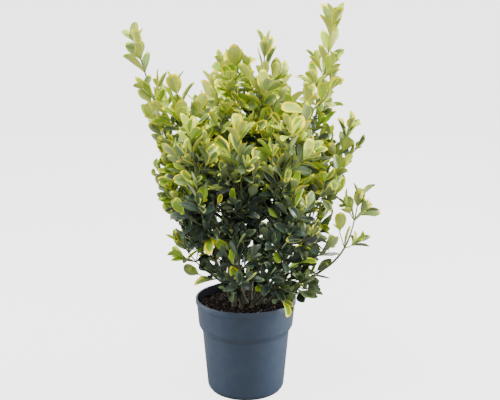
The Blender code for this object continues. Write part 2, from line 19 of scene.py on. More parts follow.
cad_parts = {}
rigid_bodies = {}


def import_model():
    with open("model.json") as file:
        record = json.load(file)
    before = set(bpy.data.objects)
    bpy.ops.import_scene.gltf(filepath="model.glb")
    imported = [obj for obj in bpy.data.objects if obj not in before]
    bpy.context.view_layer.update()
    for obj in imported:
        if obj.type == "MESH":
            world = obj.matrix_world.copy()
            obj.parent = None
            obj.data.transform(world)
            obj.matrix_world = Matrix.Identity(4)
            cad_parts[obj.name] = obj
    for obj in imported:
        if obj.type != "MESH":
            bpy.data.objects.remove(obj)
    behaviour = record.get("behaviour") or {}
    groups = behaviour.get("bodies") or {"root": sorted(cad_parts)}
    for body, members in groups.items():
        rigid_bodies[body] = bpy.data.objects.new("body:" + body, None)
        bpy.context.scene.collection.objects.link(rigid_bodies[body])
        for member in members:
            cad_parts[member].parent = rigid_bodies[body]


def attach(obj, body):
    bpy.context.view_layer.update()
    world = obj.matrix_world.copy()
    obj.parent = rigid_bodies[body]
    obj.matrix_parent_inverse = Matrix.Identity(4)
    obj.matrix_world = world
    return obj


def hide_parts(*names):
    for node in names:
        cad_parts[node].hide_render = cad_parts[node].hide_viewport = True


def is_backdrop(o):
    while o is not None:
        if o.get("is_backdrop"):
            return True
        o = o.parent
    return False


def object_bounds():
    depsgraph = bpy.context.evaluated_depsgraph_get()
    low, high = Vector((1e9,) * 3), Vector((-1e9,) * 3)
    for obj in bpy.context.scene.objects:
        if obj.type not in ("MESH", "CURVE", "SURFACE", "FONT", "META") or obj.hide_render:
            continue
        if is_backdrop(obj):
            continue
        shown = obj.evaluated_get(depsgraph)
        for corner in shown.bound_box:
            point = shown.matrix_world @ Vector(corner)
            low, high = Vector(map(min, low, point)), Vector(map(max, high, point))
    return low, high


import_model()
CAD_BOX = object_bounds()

UP = Vector((0, 0, 1))
BODY = "root"

# Pot
POT_HEIGHT = 0.182
RIM_RADIUS = 0.095
LIP_HEIGHT = 0.0095
COLLAR_TOP_RADIUS = 0.0930
COLLAR_FOOT_RADIUS = 0.0893
COLLAR_FOOT_HEIGHT = 0.130
BODY_TOP_RADIUS = 0.0826
BODY_TOP_HEIGHT = 0.119
BODY_FOOT_RADIUS = 0.0730
BASE_RADIUS = 0.0672
CORNER_HEIGHT = 0.008
WALL = 0.0016
PAINTED_SHADE_DEPTH = 0.003  # how far below the rim the painted shade on the inner wall starts
FLOOR_THICKNESS = 0.0022
POT_TURN_STEPS = 144
DRAIN_HOLES = 8
DRAIN_RADIUS = 0.0055
DRAIN_CIRCLE = 0.048
POT_SHARP_ANGLE = math.radians(40)

# Compost
COMPOST_HEIGHT = 0.168
COMPOST_LUMP = 0.0026
COMPOST_RINGS = 60
COMPOST_TURN_STEPS = 180
COMPOST_GAP = 0.0005
COMPOST_SEED = 11

# The compost's top drops towards the pot's wall, over this width and by this much
EDGE_WIDTH = 0.012
EDGE_DROP = 0.0035

# Chips that lie on the compost: how many, their size and the seed of their dice
BITS_INSET = 0.004
BARK_BITS = (420, (0.007, 0.0035, 0.0022), 3)
WHITE_BITS = (46, (0.0022, 0.0020, 0.0018), 4)
BIT_SIZES = (0.45, 1.0)
BIT_ROUGHNESS = (0.55, 1.0)
BIT_TIP = 0.35
BIT_RISE = 0.15

# The courses of the shoots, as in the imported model
CLUMP_RADIUS = 0.024
FIRST_FOOT_BEARING = -110
STEM_FOOT_RADIUS = 0.0044
BOUGH_FOOT_RADIUS = 0.0024
TWIG_RADIUS = 0.0011
TWIG_FOOT_RADIUS = TWIG_RADIUS * 1.3
FORK_THINNING = 0.8
ROOT_FLARE = 0.0022
FLARE_FALL = 0.0045
LIMB_TAPER = 0.8
LIMB_SWAY = 0.012
SOLID_LEAF_LENGTH = 0.055
SOLID_LEAF_REACH = 0.7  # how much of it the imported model's tip leaves stand past their twig

# Bark
BARK_RING_GAP = 0.0022
BARK_SIDES = 16
BARK_RELIEF = 0.055
BARK_ROUGHNESS = 0.35
LEAST_RINGS = 12
SCAR_GAP = 0.022
SCAR_HALF_WIDTH = 0.0011
SCAR_RISE = 0.13
STEM_SUNK = 0.004
MAIN_STEM_THICKNESS = 1.2
SIDE_STEM_THICKNESS = 0.8
BOUGH_THICKNESS = 1.3

# A shoot's leafy axis. Some reach further past their course's end, in metres, and some stop short of it.
TIP_RADIUS = 0.0010
AXIS_THICKNESS = 1.5
AXIS_STEPS = 26
TIP_EXTENSION = 0.006
LONG_TIPS = {"left_twig": 0.016, "left_top": 0.014, "middle_leader": 0.016}
SHORT_TIPS = {"left_mid_top": 0.93, "right_mid_top": 0.93}

# Where side twigs and leaves stand. A zone is the share of a twig, from its foot, that has side twigs.
AXIS_GAP_LOW = 0.032
AXIS_GAP_TIP = 0.021
AXIS_FIRST_GAP = AXIS_GAP_LOW * 0.6
TWIG_GAP = 0.0210
TWIG_FIRST_GAP = TWIG_GAP * 0.7
END_GAP = 0.002
TWIG_ZONE = 0.74
TOP_TWIG_ZONE = 0.88
TWIGGY_TOPS = ("midleft_leader", "left_mid_top")
SUBTWIG_ZONE = 0.6

# Side twigs
TWIG_ANGLE = math.radians(49)
TWIG_RISE = 0.95
TWIG_DRIFT = 0.06
TWIG_STEPS = 5
TWIG_SIDES = 5
TWIG_LEAST = 0.016
TWIG_LENGTHS = (0.75, 1.25)
TWIG_SHORTENING = 0.35
TWIG_THICKNESS = (0.80, 4)  # against TWIG_RADIUS at the foot, and how much more for each metre
SUBTWIG_LEAST = 0.052
SUBTWIG_SHARE = 0.40
YOUNG_TWIG, OLD_TWIG = 0, 1  # the numbers of their materials
YOUNG_TWIG_LIGHT = 0.35
YOUNG_TWIG_HEIGHT = 0.4

# A side twig without room is tried again, each time turned by up to this much more, and shortened by this
# factor. It may touch what stands within the last of these shares of its first step.
TWIG_TRIES = 5
TWIG_TWIST = 0.5
TWIG_RETRY = 0.9
TWIG_FOOT_FREE = 0.6

# What grows stays out of twigs and limbs, which count as strips: their least radius, and the limbs' steps
STRIP_RADIUS = 0.0007
LIMB_STEP = 8

# The crown's foot is nearly bare: below the first height few nodes carry leaves, above the second all do
FOOT_BARE = 0.190
FOOT_FULL = 0.290
FOOT_LEAST = 0.46

# How far the crown reaches from the pot's axis: height, then to the left, right, back and front
OUTLINE = np.array([
    (0.180, 0.080, 0.130, 0.130, 0.110),
    (0.220, 0.080, 0.140, 0.150, 0.130),
    (0.250, 0.092, 0.165, 0.175, 0.160),
    (0.265, 0.098, 0.166, 0.185, 0.168),
    (0.300, 0.114, 0.164, 0.204, 0.178),
    (0.320, 0.122, 0.163, 0.210, 0.180),
    (0.340, 0.136, 0.162, 0.214, 0.182),
    (0.370, 0.164, 0.163, 0.218, 0.182),
    (0.420, 0.172, 0.178, 0.218, 0.182),
    (0.470, 0.160, 0.212, 0.218, 0.178),
    (0.510, 0.173, 0.224, 0.216, 0.172),
    (0.550, 0.190, 0.182, 0.210, 0.160),
    (0.600, 0.200, 0.188, 0.180, 0.130),
    (0.660, 0.226, 0.184, 0.120, 0.100),
    (0.740, 0.226, 0.180, 0.080, 0.080),
])
OUTLINE_HEIGHTS, OUTLINE_LEFT, OUTLINE_RIGHT, OUTLINE_BACK, OUTLINE_FRONT = OUTLINE.T

# How many of their leaf pairs and twigs these shoots keep, as a factor
LEAFINESS = {
    "low_left": 0.60,
    "low_front_right": 1.2,
    "low_right_side": 1.4,
    "right_low": 1.6,
}

# The heights between which these shoots carry no leaves
BARE_STRETCHES = {
    "left_leader": (0.563, 0.588),
    "right_lower": (0.295, 0.315),
}

# How much further than the crown's outline these shoots reach
REACHING_SHOOTS = {
    "left_twig": 0.045,
    "right_lower": 0.085,
    "right_low": 0.020,
    "low_right_side": 0.015,
}

# Leaves
LEAF_LENGTH = 0.045
LEAF_WIDTH_SHARE = 0.525
LEAF_THICKNESS = 0.00036
LEAF_ROOT_FREE = 0.16
LIGHT_TURN = 0.16  # how far leaves turn to the light, which comes from above and from outside
LIGHT_OUTWARDS = 2
CELL = 0.03

# Pairs of leaves: how far they lean from their twig, their size against LEAF_LENGTH, and how far their
# feet stand from its axis. Each twig ends in an upright pair and a young pair, which get more light.
LEAF_ANGLE_LOW = math.radians(47)
LEAF_ANGLE_TIP = math.radians(28)
PAIR_ANGLES = (0.80, 1.25)
AXIS_PAIR_SIZE = 1.06
AXIS_PAIR_FOOT = 0.0005
TWIG_PAIR_SIZE = 1.02
TWIG_PAIR_SHRINK = 0.12
TWIG_PAIR_FOOT = 0.0004
TIP_PAIR_ANGLE = math.radians(24)
TIP_PAIR_DROP = 0.004
TIP_PAIR_SIZE = 0.86
TIP_PAIR_FOOT = 0.0003
TIP_PAIR_LIGHT = 0.1
YOUNG_PAIR_ANGLE = TIP_PAIR_ANGLE * 0.7
YOUNG_PAIR_SIZE = (0.38, 0.60)
YOUNG_PAIR_FOOT = 0.0002
YOUNG_PAIR_LIGHT = 0.2

# How leaves differ from each other: ranges, or the middle and spread of a bell curve
LEAF_SIZES = (0.84, 1.10)
LEAF_WIDTHS = (0.88, 1.12)
LEAF_FOLDS = (0.16, 0.78)
LEAF_WAVES = (0, 0.16)
LEAF_CURLS = (0.05, 0.30)
LEAF_TWISTS = (0, 0.20)
LEAF_ROLLS = (0, 0.16)
TIP_POWER = 0.62
TIP_POWERS = (-0.14, 0.14)

# What full shade takes off a leaf's length and width, and adds to its tip_power
SHADE_SHORTER = 0.20
SHADE_NARROWER = 0.12
SHADE_TIP_POWER = 0.20

# A leaf that isn't clear is tried again, turned further each time and a little smaller
LEAF_TRIES = 6
FIRST_SPREAD = 0.10
TURN_MORE = 0.13
LEAN_MORE = 0.10
LEAF_RETRY = 0.95

# The tints go from dark to bright between these heights: partly older leaves low down, partly painted shade
DARK_HEIGHT = 0.34
BRIGHT_HEIGHT = 0.53
SHADE_LIGHT = 0.16

# The sides count as higher: this much for each metre past these distances from the middle, up to a limit
SUNNY_RIGHT = 1.5
SUNNY_RIGHT_FROM = 0.05
SUNNY_LEFT = 2.0
SUNNY_LEFT_FROM = 0.075
SUNNY_MOST = 0.72

# Where the crown's surface begins, as a share of its reach, what light it gets there, and how near to the
# shoot's tip leaves are young
SURFACE = (0.56, 0.96)
SURFACE_LIGHT = 0.8
YOUNG = (0.035, 0.15)
TWIG_TO_TIP = 0.06

# The share of this light that leaves inside the crown get below the first height, and how much more they
# get by the second
INNER_LIGHT = 0.14
INNER_GAIN = 0.80
INNER_DARK_HEIGHT = 0.475
INNER_BRIGHT_HEIGHT = 0.565

# How many leaves are lime, fresh green, golden at the margin or paler near it, and how wide margins are
LIME_CHANCE = 0.055
LIME_LIGHT = 0.8
FRESH_CHANCE = 0.12
GOLDEN_CHANCE = 0.22
FLUSH_CHANCE = 0.50
MARGIN_LEAST = 0.05
MARGIN_IN_SUN = (0.02, 0.04, 0.06, 0.10, 0.24)
UNDER_MARGIN_LEAST = 0.04
UNDER_MARGIN_IN_SUN = (0.02, 0.05, 0.08, 0.15)
GOLDEN_MORE = 0.24
GOLDEN_UNDER_MORE = 0.06

# Low shoots that reach out of the shade, and how bright their leaves are at least, before a draw lowers it
PALE_DRAW = (0.7, 1)
PALE_SHOOTS = {
    "left_twig": 1.00,
    "right_lower": 0.80,
    "right_low": 0.62,
    "low_right": 0.55,
    "low_right_side": 0.55,
    "low_left": 0.38,
}

# The photograph's camera
CAMERA_PLACE = (0, -1.6, 0.742)
CAMERA_TILT = math.radians(13.1)
IMAGE_WIDTH = 500
FOCAL_PIXELS = 889
SENSOR_WIDTH = 36
AXIS_COLUMN = 245.8

# Light
SEEN_WHITE = 3.2
WORLD_STRENGTH = 0.145
FLOOR_RADIUS = 60
CROWN_MIDDLE = (0, 0, 0.45)
POT_MIDDLE = (0, 0, 0.09)

# Each lamp's name, place, aim, width and power
LAMPS = (
    ("top", (-0.3, -0.7, 2.6), CROWN_MIDDLE, 1.3, 118),
    ("left", (-2.3, -0.3, 1.1), CROWN_MIDDLE, 1.4, 54),
    ("right", (2.3, -0.3, 1.1), CROWN_MIDDLE, 1.4, 60),
    ("front", (0.3, -2.8, 1.9), CROWN_MIDDLE, 1.2, 36),
    ("back", (0.4, 2.6, 1.8), CROWN_MIDDLE, 1.4, 46),
    ("low_left", (-1.5, 0.30, 0.30), POT_MIDDLE, 0.6, 13),
    ("low_right", (1.5, 0.30, 0.30), POT_MIDDLE, 0.6, 41),
)


class Shoot(NamedTuple):
    """One shoot. Its tip stands at a bearing round the pot (0 to the right, 90 to the back, -90 to
    the front, in degrees), a reach from the pot's axis and a height above the floor, in metres."""

    name: str
    parent: str  # the shoot that it leaves, or "" where it rises from the compost
    joint: float  # how far along its parent it leaves, as a share
    bearing: float
    reach: float
    height: float
    bare: float  # the share of the shoot that is a bare limb; 0 is a leafy twig on its parent
    bend: float  # over 0 it goes outwards first and then up, under 0 up first and then outwards
    spread: float  # the length of its side twigs


# The first is the main stem, in the middle of the clump.
SHOOTS = (
    Shoot("left_top", "", 0, -167, 0.136, 0.606, 0.40, 0.06, 0.060),
    Shoot("left_leader", "", 0, 180, 0.208, 0.690, 0.40, 0.04, 0.036),
    Shoot("right_leader", "", 0, 0, 0.162, 0.727, 0.42, 0.24, 0.040),
    Shoot("middle_leader", "", 0, 16, 0.037, 0.672, 0.40, 0.05, 0.056),
    Shoot("right_inner_top", "", 0, -19, 0.124, 0.584, 0.40, 0.06, 0.060),
    Shoot("front_centre", "", 0, -96, 0.124, 0.540, 0.36, 0.12, 0.062),
    Shoot("right_side", "", 0, -3, 0.202, 0.536, 0.38, 0.16, 0.046),
    Shoot("back_left", "", 0, 122, 0.128, 0.602, 0.40, 0.08, 0.062),
    Shoot("back_right", "", 0, 55, 0.132, 0.612, 0.40, 0.08, 0.062),
    Shoot("midleft_leader", "middle_leader", 0.33, 150, 0.030, 0.650, 0.30, 0.16, 0.050),
    Shoot("left_mid_top", "middle_leader", 0.28, -178, 0.062, 0.610, 0.30, 0.12, 0.054),
    Shoot("right_mid_top", "right_inner_top", 0.31, -8, 0.084, 0.596, 0.25, -0.10, 0.050),
    Shoot("left_side_up", "left_leader", 0.33, -173, 0.166, 0.492, 0.25, 0.20, 0.048),
    Shoot("left_side_mid", "left_leader", 0.26, -163, 0.166, 0.430, 0.23, 0.18, 0.050),
    Shoot("front_left_up", "left_top", 0.33, -135, 0.148, 0.540, 0.26, 0.20, 0.060),
    Shoot("front_left_low", "left_top", 0.25, -124, 0.168, 0.446, 0.26, 0.22, 0.060),
    Shoot("front_right_up", "right_inner_top", 0.26, -52, 0.136, 0.538, 0.28, 0.20, 0.060),
    Shoot("front_right_low", "right_inner_top", 0.21, -56, 0.166, 0.446, 0.28, 0.22, 0.060),
    Shoot("right_mid", "right_side", 0.31, -16, 0.160, 0.446, 0.25, 0.16, 0.048),
    Shoot("right_lower", "right_side", 0.08, -7, 0.232, 0.404, 0.50, 0.36, 0.036),
    Shoot("back_right_side", "back_right", 0.33, 22, 0.186, 0.500, 0.28, 0.20, 0.060),
    Shoot("back_left_side", "back_left", 0.33, 155, 0.186, 0.505, 0.28, 0.20, 0.060),
    Shoot("back_mid", "back_right", 0.26, 88, 0.174, 0.515, 0.28, 0.20, 0.062),
    Shoot("left_low", "left_leader", 0.18, -160, 0.140, 0.366, 0, 0.14, 0.044),
    Shoot("left_twig", "left_leader", 0.09, -167, 0.140, 0.310, 0, 0.10, 0.036),
    Shoot("low_left", "left_top", 0.10, -143, 0.108, 0.262, 0, 0.10, 0.040),
    Shoot("low_front", "front_centre", 0.14, -96, 0.150, 0.342, 0, 0.24, 0.062),
    Shoot("low_front_right", "right_inner_top", 0.13, -54, 0.148, 0.330, 0, 0.20, 0.050),
    Shoot("low_right", "right_side", 0.05, -44, 0.122, 0.206, 0, -0.16, 0.034),
    Shoot("low_right_side", "right_lower", 0.14, -26, 0.154, 0.222, 0, 0.05, 0.034),
    Shoot("low_middle", "middle_leader", 0.10, -70, 0.080, 0.310, 0, 0.10, 0.056),
    Shoot("right_low", "right_side", 0.20, -14, 0.184, 0.306, 0, 0.20, 0.046),
    Shoot("back_low_left", "back_left", 0.18, 140, 0.158, 0.352, 0, 0.20, 0.054),
    Shoot("back_low_right", "back_right", 0.17, 40, 0.162, 0.352, 0, 0.20, 0.054),
    Shoot("back_low_mid", "back_left", 0.12, 95, 0.146, 0.318, 0, 0.20, 0.054),
)
SHOOT_BY_NAME = {shoot.name: shoot for shoot in SHOOTS}


class Course(NamedTuple):
    """The line that a shoot follows, and its radius at the foot."""

    start: Vector
    control: Vector
    tip: Vector
    sway: Vector
    foot_radius: float

    def point(self, share):
        rest = 1 - share
        arc = rest * rest * self.start + 2 * rest * share * self.control + share * share * self.tip
        return arc + self.sway * (math.sin(2 * math.pi * share) * math.sin(math.pi * share))

    def radius(self, share):
        return self.foot_radius + (TWIG_RADIUS - self.foot_radius) * share**LIMB_TAPER


def polar(bearing, reach, height):
    turn = math.radians(bearing)
    return Vector((reach * math.cos(turn), reach * math.sin(turn), height))


def across(direction):
    """Two unit vectors that are square to a direction and to each other."""
    side = direction.cross(UP)
    if side.length < 0.05:
        side = direction.cross(Vector((0, 1, 0)))
    side.normalize()
    return side, side.cross(direction).normalized()


def foot_of(shoot):
    """Where a stem stands: the main stem in the middle, and the rest evenly round it."""
    if shoot is SHOOTS[0]:
        return polar(0, 0, COMPOST_HEIGHT)
    ring = sorted((other.bearing, other.name) for other in SHOOTS[1:] if not other.parent)
    place = [name for _, name in ring].index(shoot.name)
    return polar(FIRST_FOOT_BEARING + 360 * place / len(ring), CLUMP_RADIUS, COMPOST_HEIGHT)


def course_of(shoot):
    """Where a shoot runs, worked out from its foot or its parent's course and its own tip."""
    if shoot.parent:
        carrier = course_of(SHOOT_BY_NAME[shoot.parent])
        start = carrier.point(shoot.joint)
        own_radius = BOUGH_FOOT_RADIUS if shoot.bare else TWIG_FOOT_RADIUS
        foot_radius = min(own_radius, carrier.radius(shoot.joint) * FORK_THINNING)
    else:
        start = foot_of(shoot)
        foot_radius = STEM_FOOT_RADIUS * (0.75 + 0.25 * shoot.height / SHOOTS[0].height)
    tip = polar(shoot.bearing, shoot.reach, shoot.height)
    tip -= (tip - start).normalized() * SOLID_LEAF_LENGTH * SOLID_LEAF_REACH
    span = tip - start
    outwards = Vector((span.x, span.y, 0)) * (0.5 + shoot.bend)
    control = start + outwards + UP * span.z * (0.5 - shoot.bend)
    dice = random.Random(shoot.name + " sway")
    side, over = across(span.normalized())
    sway = (side * dice.uniform(-1, 1) + over * dice.uniform(-1, 1)) * LIMB_SWAY
    return Course(start, control, tip, sway, foot_radius)


COURSES = {shoot.name: course_of(shoot) for shoot in SHOOTS}


def ramp(value, low, high):
    """0 below low, 1 above high, and smooth between them."""
    share = min(max((value - low) / (high - low), 0.0), 1.0)
    return share * share * (3 - 2 * share)


# Materials


def shader_material(name, colour, roughness, gloss=0.5):
    made = bpy.data.materials.new(name)
    made.use_nodes = True
    shader = made.node_tree.nodes["Principled BSDF"]
    shader.inputs["Base Color"].default_value = (*colour, 1)
    shader.inputs["Roughness"].default_value = roughness
    shader.inputs["Specular IOR Level"].default_value = gloss
    return made, made.node_tree, shader


def noise(tree, scale, detail=4.0, stretch=(1, 1, 1)):
    """A noise texture in the piece's own metres, as a value."""
    place = tree.nodes.new("ShaderNodeTexCoord")
    mapping = tree.nodes.new("ShaderNodeMapping")
    mapping.inputs["Scale"].default_value = stretch
    texture = tree.nodes.new("ShaderNodeTexNoise")
    texture.inputs["Scale"].default_value = scale
    texture.inputs["Detail"].default_value = detail
    tree.links.new(place.outputs["Object"], mapping.inputs["Vector"])
    tree.links.new(mapping.outputs["Vector"], texture.inputs["Vector"])
    return texture.outputs["Fac"]


def colour_ramp(tree, value, stops):
    """Colours between (place, colour) stops, driven by a value."""
    node = tree.nodes.new("ShaderNodeValToRGB")
    elements = node.color_ramp.elements
    while len(elements) < len(stops):
        elements.new(0.5)
    for element, (place, colour) in zip(elements, stops):
        element.position = place
        element.color = (*colour, 1)
    tree.links.new(value, node.inputs["Fac"])
    return node.outputs["Color"]


def value_range(tree, value, low, high):
    """A noise's middle range, spread over the numbers from low to high."""
    node = tree.nodes.new("ShaderNodeMapRange")
    node.inputs["From Min"].default_value = 0.3
    node.inputs["From Max"].default_value = 0.7
    node.inputs["To Min"].default_value = low
    node.inputs["To Max"].default_value = high
    tree.links.new(value, node.inputs["Value"])
    return node.outputs["Result"]


def mixed(tree, share, first, second):
    """A blend of two colours, each a socket or plain numbers, by a value."""
    node = tree.nodes.new("ShaderNodeMix")
    node.data_type = "RGBA"
    tree.links.new(share, node.inputs["Factor"])
    for name, colour in (("A", first), ("B", second)):
        if isinstance(colour, tuple):
            node.inputs[name].default_value = (*colour, 1)
        else:
            tree.links.new(colour, node.inputs[name])
    return node.outputs["Result"]


def bump(tree, shader, value, strength, distance):
    """Adds a bump to the shader, on top of any that it has."""
    node = tree.nodes.new("ShaderNodeBump")
    node.inputs["Strength"].default_value = strength
    node.inputs["Distance"].default_value = distance
    before = shader.inputs["Normal"].links
    if before:
        tree.links.new(before[0].from_socket, node.inputs["Normal"])
    tree.links.new(value, node.inputs["Height"])
    tree.links.new(node.outputs["Normal"], shader.inputs["Normal"])


def leaf_material(name, colour, roughness, grain, gloss):
    """A waxy leaf's surface: a plain tint, with a fine uneven gloss and grain."""
    made, tree, shader = shader_material(name, colour, roughness, gloss)
    rough = value_range(tree, noise(tree, 160), roughness - 0.07, roughness + 0.09)
    tree.links.new(rough, shader.inputs["Roughness"])
    bump(tree, shader, noise(tree, 900, 2.0), grain, 0.0004)
    bump(tree, shader, noise(tree, 140, 2.0), grain, 0.0012)
    return made


# How strongly each tint mirrors: the old leaves are the glossiest
TOP_GLOSS = (0.50, 0.48, 0.38, 0.30, 0.30, 0.30)
OTHER_GLOSS = (0.28,) * 6

# The first five tints go from a leaf in the shade to one in the sun; the darker ones are partly
# # older leaves and partly painted shade. The sixth is a fresh lime green, or on a margin golden yellow.
TOP_TINTS = (
    (0.013, 0.026, 0.018),
    (0.030, 0.053, 0.032),
    (0.094, 0.146, 0.064),
    (0.190, 0.282, 0.078),
    (0.440, 0.565, 0.044),
    (0.225, 0.400, 0.014),
)
UNDER_TINTS = (
    (0.044, 0.061, 0.047),
    (0.098, 0.128, 0.082),
    (0.196, 0.242, 0.124),
    (0.305, 0.368, 0.155),
    (0.520, 0.590, 0.115),
    (0.300, 0.450, 0.050),
)
BRIGHTEST_TINT = 4
FRESH_TINT = 5
# The margin and rib tints darken with a leaf's light too, partly as painted shade
MARGIN_TINTS = (
    (0.030, 0.050, 0.028),
    (0.100, 0.138, 0.052),
    (0.200, 0.250, 0.070),
    (0.460, 0.515, 0.032),
    (0.910, 0.950, 0.022),
    (0.930, 0.800, 0.005),
)
GOLDEN_MARGIN = 5
RIB_TINTS = (
    (0.055, 0.085, 0.040),
    (0.270, 0.320, 0.120),
    (0.370, 0.420, 0.150),
)

# The parts of a leaf: name, tints, roughness, grain and gloss
LEAF_PARTS = (
    ("top", TOP_TINTS, 0.40, 0.30, TOP_GLOSS),
    ("under", UNDER_TINTS, 0.62, 0.35, OTHER_GLOSS),
    ("margin", MARGIN_TINTS, 0.45, 0.25, OTHER_GLOSS),
    ("rib", RIB_TINTS, 0.50, 0.15, OTHER_GLOSS),
)


def leaf_materials():
    """Every tint of a leaf's parts, in the order that leaf_slots() counts in."""
    made = []
    for part, tints, roughness, grain, glosses in LEAF_PARTS:
        for number, (colour, gloss) in enumerate(zip(tints, glosses)):
            made.append(leaf_material(f"leaf_{part}_{number}", colour, roughness, grain, gloss))
    return made


def bark_material():
    """Finely furrowed bark, grey-brown with greener patches."""
    made, tree, shader = shader_material("bark", (0.12, 0.10, 0.07), 0.8)
    streaks = noise(tree, 520, 5.0, (1, 1, 0.16))
    patches = value_range(tree, noise(tree, 60, 3.0), 0.0, 1.0)
    grey = ((0.32, (0.028, 0.023, 0.016)), (0.52, (0.088, 0.076, 0.050)), (0.74, (0.170, 0.150, 0.100)))
    green = ((0.32, (0.036, 0.044, 0.020)), (0.60, (0.100, 0.112, 0.050)), (0.80, (0.160, 0.165, 0.080)))
    old = colour_ramp(tree, streaks, grey)
    fresh = colour_ramp(tree, streaks, green)
    tree.links.new(mixed(tree, patches, old, fresh), shader.inputs["Base Color"])
    bump(tree, shader, streaks, 0.5, 0.0006)
    return made


def twig_material(name, low, high):
    made, tree, shader = shader_material(name, low, 0.55)
    patches = noise(tree, 220, 3.0)
    tree.links.new(colour_ramp(tree, patches, ((0.35, low), (0.65, high))), shader.inputs["Base Color"])
    bump(tree, shader, noise(tree, 700, 2.0), 0.3, 0.0003)
    return made


def pot_material(name, low, high, dirt, roughness, gloss):
    """Moulded blue-grey plastic: a soft uneven sheen, fine grain and a little dried dirt."""
    made, tree, shader = shader_material(name, low, roughness, gloss)
    clouds = noise(tree, 14, 5.0, (1, 1, 0.35))
    plastic = colour_ramp(tree, clouds, ((0.30, low), (0.70, high)))
    dust = value_range(tree, noise(tree, 55, 8.0), -0.06, 0.14)
    tree.links.new(mixed(tree, dust, plastic, dirt), shader.inputs["Base Color"])
    rough = value_range(tree, clouds, roughness - 0.05, roughness + 0.06)
    tree.links.new(rough, shader.inputs["Roughness"])
    bump(tree, shader, noise(tree, 1400, 2.0), 0.12, 0.0002)
    bump(tree, shader, noise(tree, 30, 2.0, (1, 1, 0.3)), 0.10, 0.0010)
    return made


def compost_material():
    made, tree, shader = shader_material("compost", (0.020, 0.014, 0.010), 0.95, 0.15)
    crumbs = noise(tree, 420, 8.0)
    colours = ((0.32, (0.002, 0.002, 0.003)), (0.56, (0.007, 0.005, 0.006)), (0.76, (0.036, 0.018, 0.014)))
    tree.links.new(colour_ramp(tree, crumbs, colours), shader.inputs["Base Color"])
    bump(tree, shader, crumbs, 0.9, 0.0016)
    return made


def bit_material(name, dark, pale, roughness):
    made, tree, shader = shader_material(name, dark, roughness)
    grain = noise(tree, 500, 4.0, (1, 1, 3))
    tree.links.new(colour_ramp(tree, grain, ((0.35, dark), (0.70, pale))), shader.inputs["Base Color"])
    bump(tree, shader, grain, 0.5, 0.0005)
    return made


# Meshes from arrays

CAP_SHARE = 0.02


def mesh_from_arrays(name, points, faces, slots):
    """A smooth mesh of points, faces that all have the same number of corners, and each face's slot."""
    mesh = bpy.data.meshes.new(name)
    corners = faces.shape[1]
    mesh.vertices.add(len(points))
    mesh.vertices.foreach_set("co", np.asarray(points, np.float32).ravel())
    mesh.loops.add(faces.size)
    mesh.loops.foreach_set("vertex_index", np.asarray(faces, np.int32).ravel())
    mesh.polygons.add(len(faces))
    mesh.polygons.foreach_set("loop_start", np.arange(0, faces.size, corners, dtype=np.int32))
    mesh.polygons.foreach_set("material_index", np.asarray(slots, np.int32))
    mesh.update(calc_edges=True)
    mesh.validate()
    mesh.shade_smooth()
    return mesh


def add_piece(name, mesh, materials, replaced=()):
    """A piece of the object: its mesh and materials, and the nodes that it stands for."""
    made = bpy.data.objects.new(name, mesh)
    bpy.context.scene.collection.objects.link(made)
    for material in materials:
        mesh.materials.append(material)
    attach(made, BODY)
    if replaced:
        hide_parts(*replaced)
    return made


def tube_points(line, radii, sides):
    """Rings round a line, each square to it and turned as little as possible from the one before."""
    line = np.asarray(line, float)
    ways = np.gradient(line, axis=0)
    ways /= np.linalg.norm(ways, axis=1, keepdims=True)
    side = np.cross(ways[0], (0.3, 0.2, 0.93) if abs(ways[0][2]) < 0.9 else (1, 0, 0))
    turns = 2 * np.pi * np.arange(sides) / sides
    rings = []
    for point, way, radius in zip(line, ways, radii):
        side = side - way * side.dot(way)
        side /= np.linalg.norm(side)
        over = np.cross(way, side)
        spokes = np.outer(np.cos(turns), side) + np.outer(np.sin(turns), over)
        rings.append(point + spokes * np.reshape(radius, (-1, 1)))
    return np.concatenate(rings)


def tube_faces(rings, sides):
    ring, corner = np.meshgrid(np.arange(rings - 1), np.arange(sides), indexing="ij")
    here = ring * sides
    above = here + sides
    following = (corner + 1) % sides
    quads = [here + corner, here + following, above + following, above + corner]
    return np.stack(quads, axis=-1).reshape(-1, 4)


class Heap:
    """Points and quads of many small shapes that end up in one mesh."""

    def __init__(self):
        self.points = []
        self.faces = []
        self.slots = []
        self.count = 0

    def add(self, points, faces, slot=0):
        self.points.append(points)
        self.faces.append(faces + self.count)
        self.slots.append(np.full(len(faces), slot))
        self.count += len(points)

    def mesh(self, name):
        arrays = (np.concatenate(part) for part in (self.points, self.faces, self.slots))
        return mesh_from_arrays(name, *arrays)


def close_ends(points, sides):
    """Draws copies of a tube's first and last ring nearly in to a point, so that its ends are closed."""
    rings = points.reshape(-1, sides, 3)
    first, last = rings[0].mean(axis=0), rings[-1].mean(axis=0)
    foot = first + (rings[:1] - first) * CAP_SHARE
    tip = last + (rings[-1:] - last) * CAP_SHARE
    return np.concatenate([foot, rings, tip]).reshape(-1, 3)


# Pot and compost


def round_corner(before, corner, after, radius, steps=5):
    """Points of a rounded corner on a profile."""
    corner = Vector(corner)
    to_before = (Vector(before) - corner).normalized()
    to_after = (Vector(after) - corner).normalized()
    start = corner + to_before * radius
    end = corner + to_after * radius
    points = []
    for step in range(steps + 1):
        share = step / steps
        points.append(tuple(start * (1 - share) ** 2 + corner * 2 * share * (1 - share) + end * share**2))
    return points


def rounded(profile, radii):
    """A profile of (radius, height) corners with each inner corner rounded by its own radius."""
    made = [profile[0]]
    for before, corner, after, radius in zip(profile, profile[1:], profile[2:], radii):
        made += round_corner(before, corner, after, radius) if radius else [corner]
    return made + [profile[-1]]


